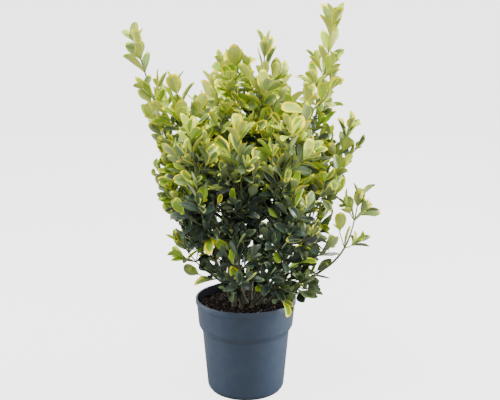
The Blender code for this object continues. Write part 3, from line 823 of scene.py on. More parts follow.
def pot_profile():
    """From the centre of the floor's upper side, up the inner wall, over the lip and down outside."""
    lip_foot = POT_HEIGHT - LIP_HEIGHT
    corners = [
        ((0, FLOOR_THICKNESS), 0),
        ((BASE_RADIUS - WALL, FLOOR_THICKNESS), 0.003),
        ((BODY_FOOT_RADIUS - WALL, CORNER_HEIGHT), 0.003),
        ((BODY_TOP_RADIUS - WALL, BODY_TOP_HEIGHT), 0.002),
        ((COLLAR_FOOT_RADIUS - WALL, COLLAR_FOOT_HEIGHT), 0.003),
        ((COLLAR_TOP_RADIUS - WALL, POT_HEIGHT), 0.0005),
        ((RIM_RADIUS, POT_HEIGHT), 0.0011),
        ((RIM_RADIUS, lip_foot), 0.0008),
        ((COLLAR_TOP_RADIUS, lip_foot - 0.0006), 0.0008),
        ((COLLAR_FOOT_RADIUS, COLLAR_FOOT_HEIGHT), 0.0022),
        ((BODY_TOP_RADIUS, BODY_TOP_HEIGHT), 0.0024),
        ((BODY_FOOT_RADIUS, CORNER_HEIGHT), 0.003),
        ((BASE_RADIUS, 0), 0.003),
        ((0, 0), 0),
    ]
    return rounded([place for place, _ in corners], [radius for _, radius in corners[1:-1]])


def lathe(name, profile, steps):
    """A closed turned mesh from a profile whose first and last points lie on the axis."""
    mesh = bpy.data.meshes.new(name)
    mesh.from_pydata([(r, 0, z) for r, z in profile], [(i, i + 1) for i in range(len(profile) - 1)], [])
    work = bmesh.new()
    work.from_mesh(mesh)
    bmesh.ops.spin(
        work,
        geom=work.verts[:] + work.edges[:],
        axis=(0, 0, 1),
        cent=(0, 0, 0),
        angle=2 * math.pi,
        steps=steps,
        use_merge=True,
    )
    bmesh.ops.remove_doubles(work, verts=work.verts, dist=1e-6)
    bmesh.ops.recalc_face_normals(work, faces=work.faces)
    work.to_mesh(mesh)
    work.free()
    mesh.shade_smooth()
    return mesh


def make_pot():
    outside = pot_material(
        "pot_plastic",
        low=(0.023, 0.040, 0.070),
        high=(0.028, 0.047, 0.081),
        dirt=(0.080, 0.095, 0.110),
        roughness=0.40,
        gloss=0.50,
    )
    # The inner wall is the same plastic, painted near black as shade where little light reaches in the pot
    inside = pot_material(
        "pot_inside",
        low=(0.002, 0.003, 0.006),
        high=(0.003, 0.004, 0.009),
        dirt=(0.008, 0.006, 0.006),
        roughness=0.80,
        gloss=0.10,
    )
    mesh = lathe("pot_shell", pot_profile(), POT_TURN_STEPS)
    pot = add_piece("pot_shell", mesh, [outside, inside], ["pot"])
    # Inner-wall faces below the rim take the painted shade
    for face in mesh.polygons:
        outwards = face.normal.x * face.center.x + face.normal.y * face.center.y
        face.material_index = int(outwards < 0 and face.center.z < POT_HEIGHT - PAINTED_SHADE_DEPTH)
    cut_holes(pot, drain_cutters())


def drain_cutters():
    """A collection of short cylinders where the pot's drain holes are."""
    holes = bpy.data.collections.new("drain_cutters")
    bpy.context.scene.collection.children.link(holes)
    for number in range(DRAIN_HOLES):
        bpy.ops.mesh.primitive_cylinder_add(
            vertices=24,
            radius=DRAIN_RADIUS,
            depth=FLOOR_THICKNESS * 4,
            location=polar(360 * number / DRAIN_HOLES, DRAIN_CIRCLE, 0),
        )
        cutter = bpy.context.object
        for holder in cutter.users_collection:
            holder.objects.unlink(cutter)
        holes.objects.link(cutter)
    return holes


def cut_holes(piece, cutters):
    """Cuts a collection of cutters out of a piece, and removes them."""
    cut = piece.modifiers.new("Holes", "BOOLEAN")
    cut.operand_type = "COLLECTION"
    cut.collection = cutters
    bpy.context.view_layer.update()
    graph = bpy.context.evaluated_depsgraph_get()
    mesh = bpy.data.meshes.new_from_object(piece.evaluated_get(graph))
    piece.modifiers.clear()
    piece.data = mesh
    for cutter in list(cutters.objects):
        bpy.data.objects.remove(cutter)
    bpy.data.collections.remove(cutters)
    mesh.set_sharp_from_angle(angle=POT_SHARP_ANGLE)


def lump(x, y):
    """How high the compost's crumbs stand at a place, from -1 to 1."""
    broad = np.sin(x * 95 + 1.3) * np.cos(y * 83 + 0.4) + np.sin(x * 53 - y * 71)
    fine = np.sin(x * 330 + 2 * np.sin(y * 210)) * np.sin(y * 290 + 2 * np.sin(x * 250))
    return 0.32 * broad + 0.30 * fine


def inner_radius(height):
    """The pot's inner radius at a height within its collar."""
    share = (height - COLLAR_FOOT_HEIGHT) / (POT_HEIGHT - COLLAR_FOOT_HEIGHT)
    return COLLAR_FOOT_RADIUS + (COLLAR_TOP_RADIUS - COLLAR_FOOT_RADIUS) * share - WALL


def make_compost():
    """The filling as one turned body, its top raised into crumbs by a formula and seeded dice."""
    edge = inner_radius(COMPOST_HEIGHT - COMPOST_LUMP) - COMPOST_GAP
    gap = WALL + COMPOST_GAP
    foot = FLOOR_THICKNESS + COMPOST_GAP
    top = [(edge * ring / COMPOST_RINGS, COMPOST_HEIGHT) for ring in range(COMPOST_RINGS + 1)]
    side = [
        (COLLAR_FOOT_RADIUS - gap, COLLAR_FOOT_HEIGHT),
        (BODY_TOP_RADIUS - gap, BODY_TOP_HEIGHT),
        (BODY_FOOT_RADIUS - gap, CORNER_HEIGHT),
        (BASE_RADIUS - gap, foot),
        (0, foot),
    ]
    mesh = lathe("compost_fill", top + side, COMPOST_TURN_STEPS)
    dice = np.random.default_rng(COMPOST_SEED)
    points = np.empty(len(mesh.vertices) * 3)
    mesh.vertices.foreach_get("co", points)
    points = points.reshape(-1, 3)
    on_top = points[:, 2] > COMPOST_HEIGHT - 0.001
    x, y = points[:, 0], points[:, 1]
    height = lump(x, y) * COMPOST_LUMP + dice.normal(0, 0.0004, len(points))
    height -= EDGE_DROP * np.clip((np.hypot(x, y) - edge + EDGE_WIDTH) / EDGE_WIDTH, 0, 1)
    points[:, 2] += np.where(on_top, height, 0)
    mesh.vertices.foreach_set("co", points.ravel())
    add_piece("compost_fill", mesh, [compost_material()], ["compost"])


def crumb(dice, length, width, thickness):
    """One rough chip: a box whose eight corners are moved at random. Returns its points and quads."""
    corners = np.array([(x, y, z) for z in (-1, 1) for y in (-1, 1) for x in (-1, 1)], float)
    corners *= dice.uniform(*BIT_ROUGHNESS, (8, 3))
    corners *= np.array([length, width, thickness]) / 2
    faces = np.array([(0, 2, 3, 1), (4, 5, 7, 6), (0, 1, 5, 4), (2, 6, 7, 3), (0, 4, 6, 2), (1, 3, 7, 5)])
    return corners, faces


def scatter_bits(name, count, sizes, seed, material):
    """Chips that lie half sunk on the compost, each turned and tipped its own way."""
    dice = np.random.default_rng(seed)
    heap = Heap()
    wall = inner_radius(COMPOST_HEIGHT)
    for _ in range(count):
        size = dice.uniform(*BIT_SIZES)
        points, faces = crumb(dice, *(np.array(sizes) * size))
        turn = Matrix.Rotation(dice.uniform(0, 2 * math.pi), 3, "Z")
        tip = Matrix.Rotation(dice.normal(0, BIT_TIP), 3, "X")
        tip = tip @ Matrix.Rotation(dice.normal(0, BIT_TIP), 3, "Y")
        reach = (wall - BITS_INSET) * math.sqrt(dice.uniform(0, 1))
        bearing = dice.uniform(0, 2 * math.pi)
        x, y = reach * math.cos(bearing), reach * math.sin(bearing)
        drop = EDGE_DROP * max(0.0, (reach - wall + EDGE_WIDTH) / EDGE_WIDTH)
        height = COMPOST_HEIGHT + lump(x, y) * COMPOST_LUMP - drop + sizes[2] * size * BIT_RISE
        heap.add(points @ np.array(turn @ tip).T + (x, y, height), faces)
    mesh = heap.mesh(name)
    mesh.shade_flat()
    add_piece(name, mesh, [material])


def make_bits():
    bark = bit_material("bark_bit", (0.040, 0.022, 0.014), (0.120, 0.060, 0.034), 0.85)
    scatter_bits("bark_bits", *BARK_BITS, bark)
    white = bit_material("white_bit", (0.55, 0.53, 0.48), (0.80, 0.78, 0.74), 0.90)
    scatter_bits("white_bits", *WHITE_BITS, white)


# Stems and boughs


def limb_line(shoot):
    """The points, radii and lengths run of a bare limb, one ring every BARK_RING_GAP."""
    course = COURSES[shoot.name]
    span = (course.point(shoot.bare) - course.point(0)).length
    count = max(int(span / BARK_RING_GAP), LEAST_RINGS)
    shares = [shoot.bare * step / count for step in range(count + 1)]
    points = [course.point(share) for share in shares]
    thickness = SIDE_STEM_THICKNESS
    if shoot.parent:
        thickness = BOUGH_THICKNESS
    elif shoot is SHOOTS[0]:
        thickness = MAIN_STEM_THICKNESS
    radii = [course.radius(share) * thickness for share in shares]
    if not shoot.parent:
        points.insert(0, points[0] - UP * STEM_SUNK)
        radii.insert(0, radii[0])
    runs = np.cumsum([0] + [(b - a).length for a, b in zip(points, points[1:])])
    radii = np.array(radii)
    if not shoot.parent:
        radii = radii + ROOT_FLARE * np.exp(-np.maximum(runs - STEM_SUNK, 0) / FLARE_FALL)
    return np.array(points), radii, runs


def bark_radii(radii, runs, dice):
    """Each ring's radius at each corner: long furrows, faint rings and the scars of old leaves."""
    turns = 2 * np.pi * np.arange(BARK_SIDES) / BARK_SIDES
    phase = dice.uniform(0, 2 * np.pi, 4)
    along = runs[:, None]
    furrows = np.sin(4 * turns + phase[0] + 1.5 * np.sin(along * 90 + phase[1]))
    furrows += 0.6 * np.sin(7 * turns - phase[2] + 2 * np.sin(along * 170 + phase[3]))
    rough = dice.normal(0, BARK_ROUGHNESS, (len(runs), BARK_SIDES))
    relief = 1 + BARK_RELIEF * 0.5 * (furrows + rough)
    from_scar = (runs + SCAR_GAP / 2) % SCAR_GAP - SCAR_GAP / 2
    scars = np.exp(-(from_scar**2) / (2 * SCAR_HALF_WIDTH**2))
    return radii[:, None] * relief * (1 + SCAR_RISE * scars[:, None])


def make_bark():
    """One mesh of all the bare limbs."""
    heap = Heap()
    for shoot in SHOOTS:
        if not shoot.bare:
            continue
        line, radii, runs = limb_line(shoot)
        dice = np.random.default_rng(sum(shoot.name.encode()))
        points = tube_points(line, bark_radii(radii, runs, dice), BARK_SIDES)
        faces = tube_faces(len(line) + 2, BARK_SIDES)
        heap.add(close_ends(points, BARK_SIDES), faces)
    nodes = [("bough_" if shoot.parent else "stem_") + shoot.name for shoot in SHOOTS if shoot.bare]
    add_piece("stems_bark", heap.mesh("stems_bark"), [bark_material()], nodes)


# Leaves

# How far along a leaf each row of its mesh stands, from the foot of its stalk to its tip
LEAF_ROWS = np.array([0, 0.06, 0.15, 0.29, 0.45, 0.61, 0.76, 0.88, 0.96, 1.0])
STALK_END = 0.08
STALK_HALF_WIDTH = 0.0007
RIB_HALF_SHARE = 0.045
BASE_POWER = 0.80
LEAF_SIDE_COLUMNS = 8
INNER_LINE = (0.22, 0.96)  # where the margin's inner line may run, as shares of the half width
RIB_THICKNESS = 1.9  # against the blade's, and so is the underside's
UNDER_THICKNESS = 1.5
STALK_THICKNESS = 0.9  # against its width
LEAF_SHARP_ANGLE = math.radians(70)


def half_width_share(along, tip_power):
    """A leaf's half width as a share of its widest. A higher tip_power gives a more pointed tip."""
    blade = np.clip((along - STALK_END) / (1 - STALK_END), 0, 1)
    widest = BASE_POWER / (BASE_POWER + tip_power)
    most = widest**BASE_POWER * (1 - widest) ** tip_power
    return blade**BASE_POWER * (1 - blade * 0.985) ** tip_power / most


class Blade(NamedTuple):
    """One leaf: where it stands, how it is bent, and which tints it takes."""

    root: Vector
    along: Vector
    face: Vector
    length: float
    width: float
    fold: float  # how far each half is raised, in radians
    curl: float  # how far the tip is bent back, in radians
    twist: float
    wave: float
    phase: float
    tip_power: float
    margin: float  # the yellow edge's width on the upper side, as a share of the half width
    under_margin: float
    top: int
    under: int
    edge: int
    rib: int
    flush: int  # how many tints paler the blade is near its margin


def blade_surface(leaves, along, across_share):
    """Points and normals of leaves. leaves is an array with one row of numbers for each leaf, and
    along and across_share have one row of places for each leaf."""
    root, way, face = leaves[:, None, 0:3], leaves[:, None, 3:6], leaves[:, None, 6:9]
    numbers = (leaves[:, column, None] for column in range(9, 17))
    length, width, fold, curl, twist, wave, phase, tip_power = numbers
    side = np.cross(way, face)
    curl = np.where(np.abs(curl) < 0.01, 0.01, curl)
    bent = curl * along
    forward = length * np.sin(bent) / curl
    back = -length * (1 - np.cos(bent)) / curl
    normal = face * np.cos(bent)[..., None] + way * np.sin(bent)[..., None]
    turn = (twist * along)[..., None]
    sideways = side * np.cos(turn) + normal * np.sin(turn)
    normal = normal * np.cos(turn) - side * np.sin(turn)
    half = np.maximum(width / 2 * half_width_share(along, tip_power), STALK_HALF_WIDTH)
    out = half * across_share
    raised = np.abs(out) * np.sin(fold)
    raised = raised + half * wave * np.sin(along * 9 + phase) * across_share**2
    points = root + way * forward[..., None] + face * back[..., None]
    points = points + sideways * (out * np.cos(fold))[..., None] + normal * raised[..., None]
    return points, normal


def leaf_numbers(leaf):
    return [*leaf.root, *leaf.along, *leaf.face, *leaf[3:11]]


def leaf_faces():
    """The quads of one leaf, both sides, and the part of each: 0 top, 1 under, 2 margin, 3 rib, and
    4 and 5 for the band inside the margin on the top and under sides."""
    rows, columns = len(LEAF_ROWS), LEAF_SIDE_COLUMNS
    inner = columns - 2

    def upper(row, column):
        return row * columns + column

    def lower(row, column):
        if row in (0, rows - 1) or column in (0, columns - 1):
            return upper(row, column)
        return rows * columns + (row - 1) * inner + column - 1

    faces, parts = [], []
    for row in range(rows - 1):
        for column in range(columns - 1):
            at_edge = column in (0, columns - 2) or row >= rows - 3
            stalk = LEAF_ROWS[row + 1] < STALK_END
            is_rib = column == (columns - 2) // 2 or stalk
            is_band = column in (1, columns - 3) or row == rows - 4
            for vertex, side in ((upper, 0), (lower, 1)):
                quad = [vertex(row, column), vertex(row, column + 1)]
                quad += [vertex(row + 1, column + 1), vertex(row + 1, column)]
                faces.append(quad if side == 0 else quad[::-1])
                part = side + 4 * is_band
                parts.append(3 if stalk or (is_rib and not at_edge) else 2 if at_edge else part)
    return np.array(faces), np.array(parts)


def side_shares(dice, outer, margins):
    """Where the columns of one side of each leaf stand, from -1 to 1. The margin's inner line is uneven."""
    count, rows = outer.shape
    widths = np.array(margins)[:, None]
    left, right = (np.clip(1 - widths * uneven(dice, count, rows), *INNER_LINE) for _ in range(2))
    rib = np.full((count, rows), RIB_HALF_SHARE)
    columns = [-outer, -left, -(left + rib) / 2, -rib, rib, (right + rib) / 2, right, outer]
    return np.stack(columns, axis=-1).reshape(count, -1)


def uneven(dice, count, rows):
    """Factors round 1 that wander from row to row."""
    steps = dice.uniform(0.35, 1.75, (count, rows + 1))
    return (steps[:, 1:] + steps[:, :-1]) / 2


def near_margin(tint, flush):
    """The tint of a blade's band inside its margin."""
    return tint if tint == FRESH_TINT else min(tint + flush, BRIGHTEST_TINT)


def leaf_slots(leaf):
    """The material numbers of a leaf's six parts."""
    first_under = len(TOP_TINTS)
    first_margin = first_under + len(UNDER_TINTS)
    first_rib = first_margin + len(MARGIN_TINTS)
    return [
        leaf.top,
        first_under + leaf.under,
        first_margin + leaf.edge,
        first_rib + leaf.rib,
        near_margin(leaf.top, leaf.flush),
        first_under + near_margin(leaf.under, leaf.flush),
    ]


def half_thickness():
    """Half of a leaf's thickness at each point of its mesh: none along its edge, most at its rib."""
    half = np.zeros((len(LEAF_ROWS), LEAF_SIDE_COLUMNS))
    half[1:-1, 1:-1] = LEAF_THICKNESS / 2
    half[1:-1, 3:5] *= RIB_THICKNESS
    half[1, 1:-1] = STALK_HALF_WIDTH * STALK_THICKNESS
    return half.ravel()[None, :, None]


def leaf_mesh(name, leaves, seed):
    """One mesh of many leaves: closed blades, each with its own uneven margin and edge."""
    dice = np.random.default_rng(seed)
    numbers = np.array([leaf_numbers(leaf) for leaf in leaves])
    count, rows, columns = len(leaves), len(LEAF_ROWS), LEAF_SIDE_COLUMNS
    outer = 1 + dice.normal(0, 0.012, (count, rows))
    along = np.repeat(LEAF_ROWS, columns)[None, :].repeat(count, axis=0)
    top_shares = side_shares(dice, outer, [leaf.margin for leaf in leaves])
    under_shares = side_shares(dice, outer, [leaf.under_margin for leaf in leaves])
    middle, normal = blade_surface(numbers, along, top_shares)
    under_middle, under_normal = blade_surface(numbers, along, under_shares)
    thickness = half_thickness()
    top = middle + normal * thickness
    under = under_middle - under_normal * thickness * UNDER_THICKNESS
    under = under.reshape(count, rows, columns, 3)[:, 1:-1, 1:-1].reshape(count, -1, 3)
    points = np.concatenate([top, under], axis=1)
    template, parts = leaf_faces()
    faces = template[None] + (np.arange(count) * points.shape[1])[:, None, None]
    slots = np.array([leaf_slots(leaf) for leaf in leaves])[:, parts].ravel()
    mesh = mesh_from_arrays(name, points.reshape(-1, 3), faces.reshape(-1, 4), slots)
    mesh.set_sharp_from_angle(angle=LEAF_SHARP_ANGLE)
    return mesh


# A coarse outline of a leaf, for the test that keeps leaves out of each other
GUARD_ALONG = np.array([[LEAF_ROOT_FREE, 0.42, 0.42, 0.42, 0.72, 0.72, 0.72, 0.97, 0.97]])
GUARD_ACROSS = np.array([[0, -1, 0, 1, -1, 0, 1, -1, 1]])
GUARD_FACES = ((0, 1, 2), (0, 2, 3), (1, 4, 5, 2), (2, 5, 6, 3), (4, 7, 5), (5, 7, 8), (5, 8, 6))
GUARD_MIDDLE, GUARD_TIP = 5, 7


def crown_reach(place):
    """How far the crown reaches at a place's height, in its direction from the pot's axis."""
    reach = max(math.hypot(place[0], place[1]), 0.001)
    side = OUTLINE_RIGHT if place[0] > 0 else OUTLINE_LEFT
    depth = OUTLINE_BACK if place[1] > 0 else OUTLINE_FRONT
    sideways = (place[0] / reach) ** 2
    along_side = np.interp(place[2], OUTLINE_HEIGHTS, side)
    along_depth = np.interp(place[2], OUTLINE_HEIGHTS, depth)
    return along_depth + (along_side - along_depth) * sideways


def within_outline(shoot, place):
    """Whether a place on a shoot is within the crown's reach at its height and bearing."""
    return math.hypot(place[0], place[1]) <= crown_reach(place) + REACHING_SHOOTS.get(shoot.name, 0)


def cells_of(points):
    """The cells of a grid that a shape's points reach through."""
    low = np.floor(points.min(axis=0) / CELL).astype(int)
    high = np.floor(points.max(axis=0) / CELL).astype(int)
    for x in range(low[0], high[0] + 1):
        for y in range(low[1], high[1] + 1):
            for z in range(low[2], high[2] + 1):
                yield x, y, z


class Crown:
    """Everything that grows on the limbs, with a grid of cells that tells what stands near a place."""

    def __init__(self):
        self.leaves = defaultdict(list)
        self.twigs = []
        self.cells = defaultdict(list)
        self.shapes = []

    def remember(self, points, shape):
        self.shapes.append(shape)
        for cell in cells_of(points):
            self.cells[cell].append(len(self.shapes) - 1)

    def clear(self, points, shape):
        near = {number for cell in cells_of(points) for number in self.cells[cell]}
        return not any(shape.overlap(self.shapes[number]) for number in near)

    def add_line(self, line, radii, slot):
        """Keeps a twig, and remembers it as slim strips that leaves stay out of."""
        self.twigs.append((line, radii, slot))
        for (a, b), radius in zip(zip(line, line[1:]), radii):
            self.remember(*strip_of(a, b, max(radius, STRIP_RADIUS)))

    def has_room(self, line):
        """Whether nothing stands where a side twig would run, past its foot."""
        line = [line[0].lerp(line[1], TWIG_FOOT_FREE)] + line[1:]
        return all(self.clear(*strip_of(a, b, STRIP_RADIUS)) for a, b in zip(line, line[1:]))

    def add_leaf(self, shoot, leaf):
        """Keeps a leaf if its blade is clear of all that grows there and stays in the crown's outline."""
        numbers = np.array([leaf_numbers(leaf)])
        points = blade_surface(numbers, GUARD_ALONG, GUARD_ACROSS)[0][0]
        if not all(within_outline(shoot, points[corner]) for corner in (GUARD_MIDDLE, GUARD_TIP)):
            return False
        shape = BVHTree.FromPolygons(points.tolist(), GUARD_FACES)
        if not self.clear(points, shape):
            return False
        self.remember(points, shape)
        self.leaves[shoot.name].append(leaf)
        return True


def strip_of(a, b, radius):
    """Two crossed strips along a twig's segment, as points and a search tree."""
    side, over = across((b - a).normalized())
    points = []
    for out in (side * radius, over * radius):
        points += [a - out, a + out, b + out, b - out]
    shape = BVHTree.FromPolygons([tuple(point) for point in points], ((0, 1, 2, 3), (4, 5, 6, 7)))
    return np.array(points), shape


def near_tint(tint, steps, dice):
    """A tint that is one of these steps away from another, drawn by dice."""
    return min(max(tint + dice.choice(steps), 0), BRIGHTEST_TINT)


def looks_of(light, lime, dice):
    """The margins and tints of a leaf in the shade (light 0) or the sun (1), drawn by seeded dice."""
    light = min(max(light, 0.0), 1.0)
    # A leaf in shade gets a darker copy of each tint: partly older leaves, partly painted shade
    tint = min(int(light * BRIGHTEST_TINT + dice.random()), BRIGHTEST_TINT)
    sunny = tint > 2
    top = near_tint(tint, (-1, -1, 0, 0, 0), dice)
    under = near_tint(tint, (-1, 0, 0, 0, 1), dice)
    edge = near_tint(tint, (-1, 0, 0, 1), dice)
    rib = 0 if tint < 2 else dice.choice((1, 1, 2))
    margin = MARGIN_LEAST + light * dice.choice(MARGIN_IN_SUN)
    under_margin = UNDER_MARGIN_LEAST + light * dice.choice(UNDER_MARGIN_IN_SUN)
    if sunny and dice.random() < GOLDEN_CHANCE:
        edge = GOLDEN_MARGIN
        margin += GOLDEN_MORE
        under_margin += GOLDEN_UNDER_MORE
    flush = int(dice.random() < light * FLUSH_CHANCE)
    if lime or (sunny and dice.random() < FRESH_CHANCE):
        top = under = FRESH_TINT
    return {
        "margin": margin,
        "under_margin": under_margin,
        "top": top,
        "under": under,
        "edge": edge,
        "rib": rib,
        "flush": flush,
    }


def grow_leaf(crown, shoot, dice, root, along, face, length, light):
    """Puts one leaf on a twig if it is clear, or turns and shortens it and tries again."""
    light = max(light, PALE_SHOOTS.get(shoot.name, 0) * dice.uniform(*PALE_DRAW))
    lime = dice.random() < LIME_CHANCE
    if lime:
        light = max(light, LIME_LIGHT)
    looks = looks_of(light, lime, dice)
    shade = 1 - min(max(light, 0.0), 1.0)
    size = length * dice.uniform(*LEAF_SIZES) * (1 - SHADE_SHORTER * shade)
    for attempt in range(LEAF_TRIES):
        turn = dice.gauss(0, FIRST_SPREAD + TURN_MORE * attempt)
        lean = dice.gauss(0, FIRST_SPREAD + LEAN_MORE * attempt)
        way = Matrix.Rotation(turn, 3, face) @ (along + face * lean).normalized()
        square = (face - way * face.dot(way)).normalized()
        square = Matrix.Rotation(dice.gauss(*LEAF_ROLLS), 3, way) @ square
        blade = Blade(
            root=root,
            along=way,
            face=square,
            length=size,
            width=size * LEAF_WIDTH_SHARE * dice.uniform(*LEAF_WIDTHS) * (1 - SHADE_NARROWER * shade),
            fold=dice.uniform(*LEAF_FOLDS),
            curl=dice.gauss(*LEAF_CURLS),
            twist=dice.gauss(*LEAF_TWISTS),
            wave=dice.uniform(*LEAF_WAVES),
            phase=dice.uniform(0, 6.3),
            tip_power=TIP_POWER + SHADE_TIP_POWER * shade + dice.uniform(*TIP_POWERS),
            **looks,
        )
        if crown.add_leaf(shoot, blade):
            return
        size *= LEAF_RETRY


def both_sides(way, turn):
    """Two opposite ways that are square to a twig's own, turned round it by an angle."""
    side, over = across(way)
    spoke = side * math.cos(turn) + over * math.sin(turn)
    return spoke, -spoke


def leaning(way, out, angle):
    """A twig's way, leaned outwards by an angle."""
    return way * math.cos(angle) + out * math.sin(angle)


def leaf_angle(share):
    """How far leaves lean from their twig: less towards its tip."""
    return LEAF_ANGLE_LOW + (LEAF_ANGLE_TIP - LEAF_ANGLE_LOW) * share


def grow_pair(crown, shoot, dice, place, way, turn, angle, length, light, foot):
    """Two opposite leaves at a node of a twig that runs along way."""
    angle *= dice.uniform(*PAIR_ANGLES)
    for out in both_sides(way, turn):
        along = leaning(way, out, angle).normalized()
        face = (way * math.sin(angle) - out * math.cos(angle)).normalized()
        lit = UP + Vector((place.x, place.y, 0)) * LIGHT_OUTWARDS
        face = face + (lit - along * lit.dot(along)) * LIGHT_TURN * math.sin(angle)
        face = (face - along * face.dot(along)).normalized()
        grow_leaf(crown, shoot, dice, place + out * foot, along, face, length, light)


def nodes_along(line, first, gap_low, gap_tip):
    """Where leaves stand on a twig: (point, direction, share), closer towards its tip."""
    spans = [(b - a).length for a, b in zip(line, line[1:])]
    total = sum(spans)
    places = []
    run = first
    while run < total - END_GAP:
        past = run
        for span, (a, b) in zip(spans, zip(line, line[1:])):
            if past <= span:
                places.append((a.lerp(b, past / span), (b - a).normalized(), run / total))
                break
            past -= span
        run += gap_low + (gap_tip - gap_low) * run / total
    return places


def grow_tip(crown, shoot, dice, end, way, turn, light):
    """The tip of a twig: an upright pair, and a small young pair crosswise inside it."""
    place = end - way * TIP_PAIR_DROP
    size = LEAF_LENGTH * TIP_PAIR_SIZE
    pair_light = light + TIP_PAIR_LIGHT
    grow_pair(crown, shoot, dice, place, way, turn, TIP_PAIR_ANGLE, size, pair_light, TIP_PAIR_FOOT)
    size = LEAF_LENGTH * dice.uniform(*YOUNG_PAIR_SIZE)
    turn += math.pi / 2
    pair_light = light + YOUNG_PAIR_LIGHT
    grow_pair(crown, shoot, dice, end, way, turn, YOUNG_PAIR_ANGLE, size, pair_light, YOUNG_PAIR_FOOT)


def twig_line(start, way, length, dice):
    """The points of a side twig that turns upwards."""
    rise = (way + UP * TWIG_RISE).normalized()
    line = [start]
    for step in range(TWIG_STEPS):
        share = (step + 0.5) / TWIG_STEPS
        drift = Vector((dice.gauss(0, 1), dice.gauss(0, 1), dice.gauss(0, 1))) * TWIG_DRIFT
        line.append(line[-1] + (way.lerp(rise, share) + drift).normalized() * (length / TWIG_STEPS))
    return line


def grow_twig(crown, shoot, dice, start, way, length, light, level=0):
    """A side twig with pairs of leaves set crosswise, finer twigs low on it, and a pair at its tip."""
    line = twig_line(start, way, length, dice)
    if not (within_outline(shoot, line[-1]) and crown.has_room(line)):
        return False
    least, more = TWIG_THICKNESS
    radii = np.linspace(TWIG_RADIUS * (least + length * more), TIP_RADIUS, len(line))
    crown.add_line(line, radii, YOUNG_TWIG if light > YOUNG_TWIG_LIGHT else OLD_TWIG)
    turn = dice.uniform(0, math.pi)
    end_way = (line[-1] - line[-2]).normalized()
    end_light = light_at(line[-1], TWIG_TO_TIP)
    grow_tip(crown, shoot, dice, line[-1], end_way, turn, end_light)
    branches = level == 0 and length > SUBTWIG_LEAST
    for place, forward, share in nodes_along(line, TWIG_FIRST_GAP, TWIG_GAP, TWIG_GAP):
        turn += math.pi / 2
        if is_bare(shoot, place, dice):
            continue
        if branches and share < SUBTWIG_ZONE:
            for out in both_sides(forward, turn):
                aim = leaning(forward, out, TWIG_ANGLE).normalized()
                grow_twig(crown, shoot, dice, place, aim, length * SUBTWIG_SHARE, light, 1)
        angle = leaf_angle(share)
        size = LEAF_LENGTH * (TWIG_PAIR_SIZE - TWIG_PAIR_SHRINK * share)
        node_light = light + (end_light - light) * share
        grow_pair(crown, shoot, dice, place, forward, turn, angle, size, node_light, TWIG_PAIR_FOOT)
    return True


def light_at(place, to_tip):
    """How young and sunlit the leaves at a place are: bright high up, towards the right and the far
    left, near the crown's surface and near their shoot's tip. The tints follow it, so the dark ones deep
    in the crown are painted shade as well as older leaves."""
    right = max(place.x - SUNNY_RIGHT_FROM, 0)
    left = max(-place.x - SUNNY_LEFT_FROM, 0)
    sunny = SUNNY_RIGHT * right + SUNNY_LEFT * left
    sunny_high = ramp(place.z + sunny, DARK_HEIGHT, BRIGHT_HEIGHT)
    high = max(ramp(place.z, DARK_HEIGHT, BRIGHT_HEIGHT), min(sunny_high, SUNNY_MOST))
    outer = ramp(math.hypot(place.x, place.y) / crown_reach(place), *SURFACE)
    young = 1 - ramp(to_tip, *YOUNG)
    inner = INNER_LIGHT + INNER_GAIN * ramp(place.z, INNER_DARK_HEIGHT, INNER_BRIGHT_HEIGHT)
    near_surface = max(outer * SURFACE_LIGHT, young)
    return SHADE_LIGHT + (1 - SHADE_LIGHT) * high * (inner + (1 - inner) * near_surface)


def is_bare(shoot, place, dice):
    """Whether a node has lost its leaves, as most have at the crown's foot."""
    low, high = BARE_STRETCHES.get(shoot.name, (0, 0))
    if low < place.z < high:
        return True
    kept = FOOT_LEAST + (1 - FOOT_LEAST) * ramp(place.z, FOOT_BARE, FOOT_FULL)
    return dice.random() > kept * LEAFINESS.get(shoot.name, 1)


def axis_of(shoot):
    """The points and radii of a shoot's leafy stretch, with a short extension past its tip."""
    course = COURSES[shoot.name]
    end = SHORT_TIPS.get(shoot.name, 1)
    shares = [shoot.bare + (end - shoot.bare) * step / AXIS_STEPS for step in range(AXIS_STEPS + 1)]
    line = [course.point(share) for share in shares]
    extension = LONG_TIPS.get(shoot.name, TIP_EXTENSION)
    line.append(line[-1] + (line[-1] - line[-2]).normalized() * extension)
    radii = np.linspace(course.radius(shoot.bare) * AXIS_THICKNESS, TIP_RADIUS, len(line))
    return line, radii


def grow_side_twig(crown, shoot, dice, place, way, out, share, light):
    """Tries a few ways for a side twig at a node, each time a shorter one, until it has room."""
    for attempt in range(TWIG_TRIES):
        twist = Matrix.Rotation(attempt * dice.uniform(-TWIG_TWIST, TWIG_TWIST), 3, way)
        aim = (twist @ leaning(way, out, TWIG_ANGLE)).normalized()
        length = shoot.spread * (1 - TWIG_SHORTENING * share) * dice.uniform(*TWIG_LENGTHS)
        length = max(length * TWIG_RETRY**attempt, TWIG_LEAST)
        if grow_twig(crown, shoot, dice, place, aim, length, light):
            return


def grow_shoot(crown, shoot):
    """The leafy stretch of a shoot: side twigs and pairs of leaves, set crosswise, up to its tip."""
    line, _ = axis_of(shoot)
    dice = random.Random(shoot.name + " leaves")
    turn = dice.uniform(0, math.pi)
    end_way = (line[-1] - line[-2]).normalized()
    grow_tip(crown, shoot, dice, line[-1], end_way, turn, light_at(line[-1], 0))
    twig_zone = TOP_TWIG_ZONE if shoot.name in TWIGGY_TOPS else TWIG_ZONE
    places = nodes_along(line, AXIS_FIRST_GAP, AXIS_GAP_LOW, AXIS_GAP_TIP)
    for place, way, share in reversed(places):
        turn += math.pi / 2
        if is_bare(shoot, place, dice):
            continue
        light = light_at(place, (line[-1] - place).length)
        if share < twig_zone:
            for out in both_sides(way, turn):
                grow_side_twig(crown, shoot, dice, place, way, out, share, light)
        angle = leaf_angle(share)
        size = LEAF_LENGTH * AXIS_PAIR_SIZE
        grow_pair(crown, shoot, dice, place, way, turn, angle, size, light, AXIS_PAIR_FOOT)


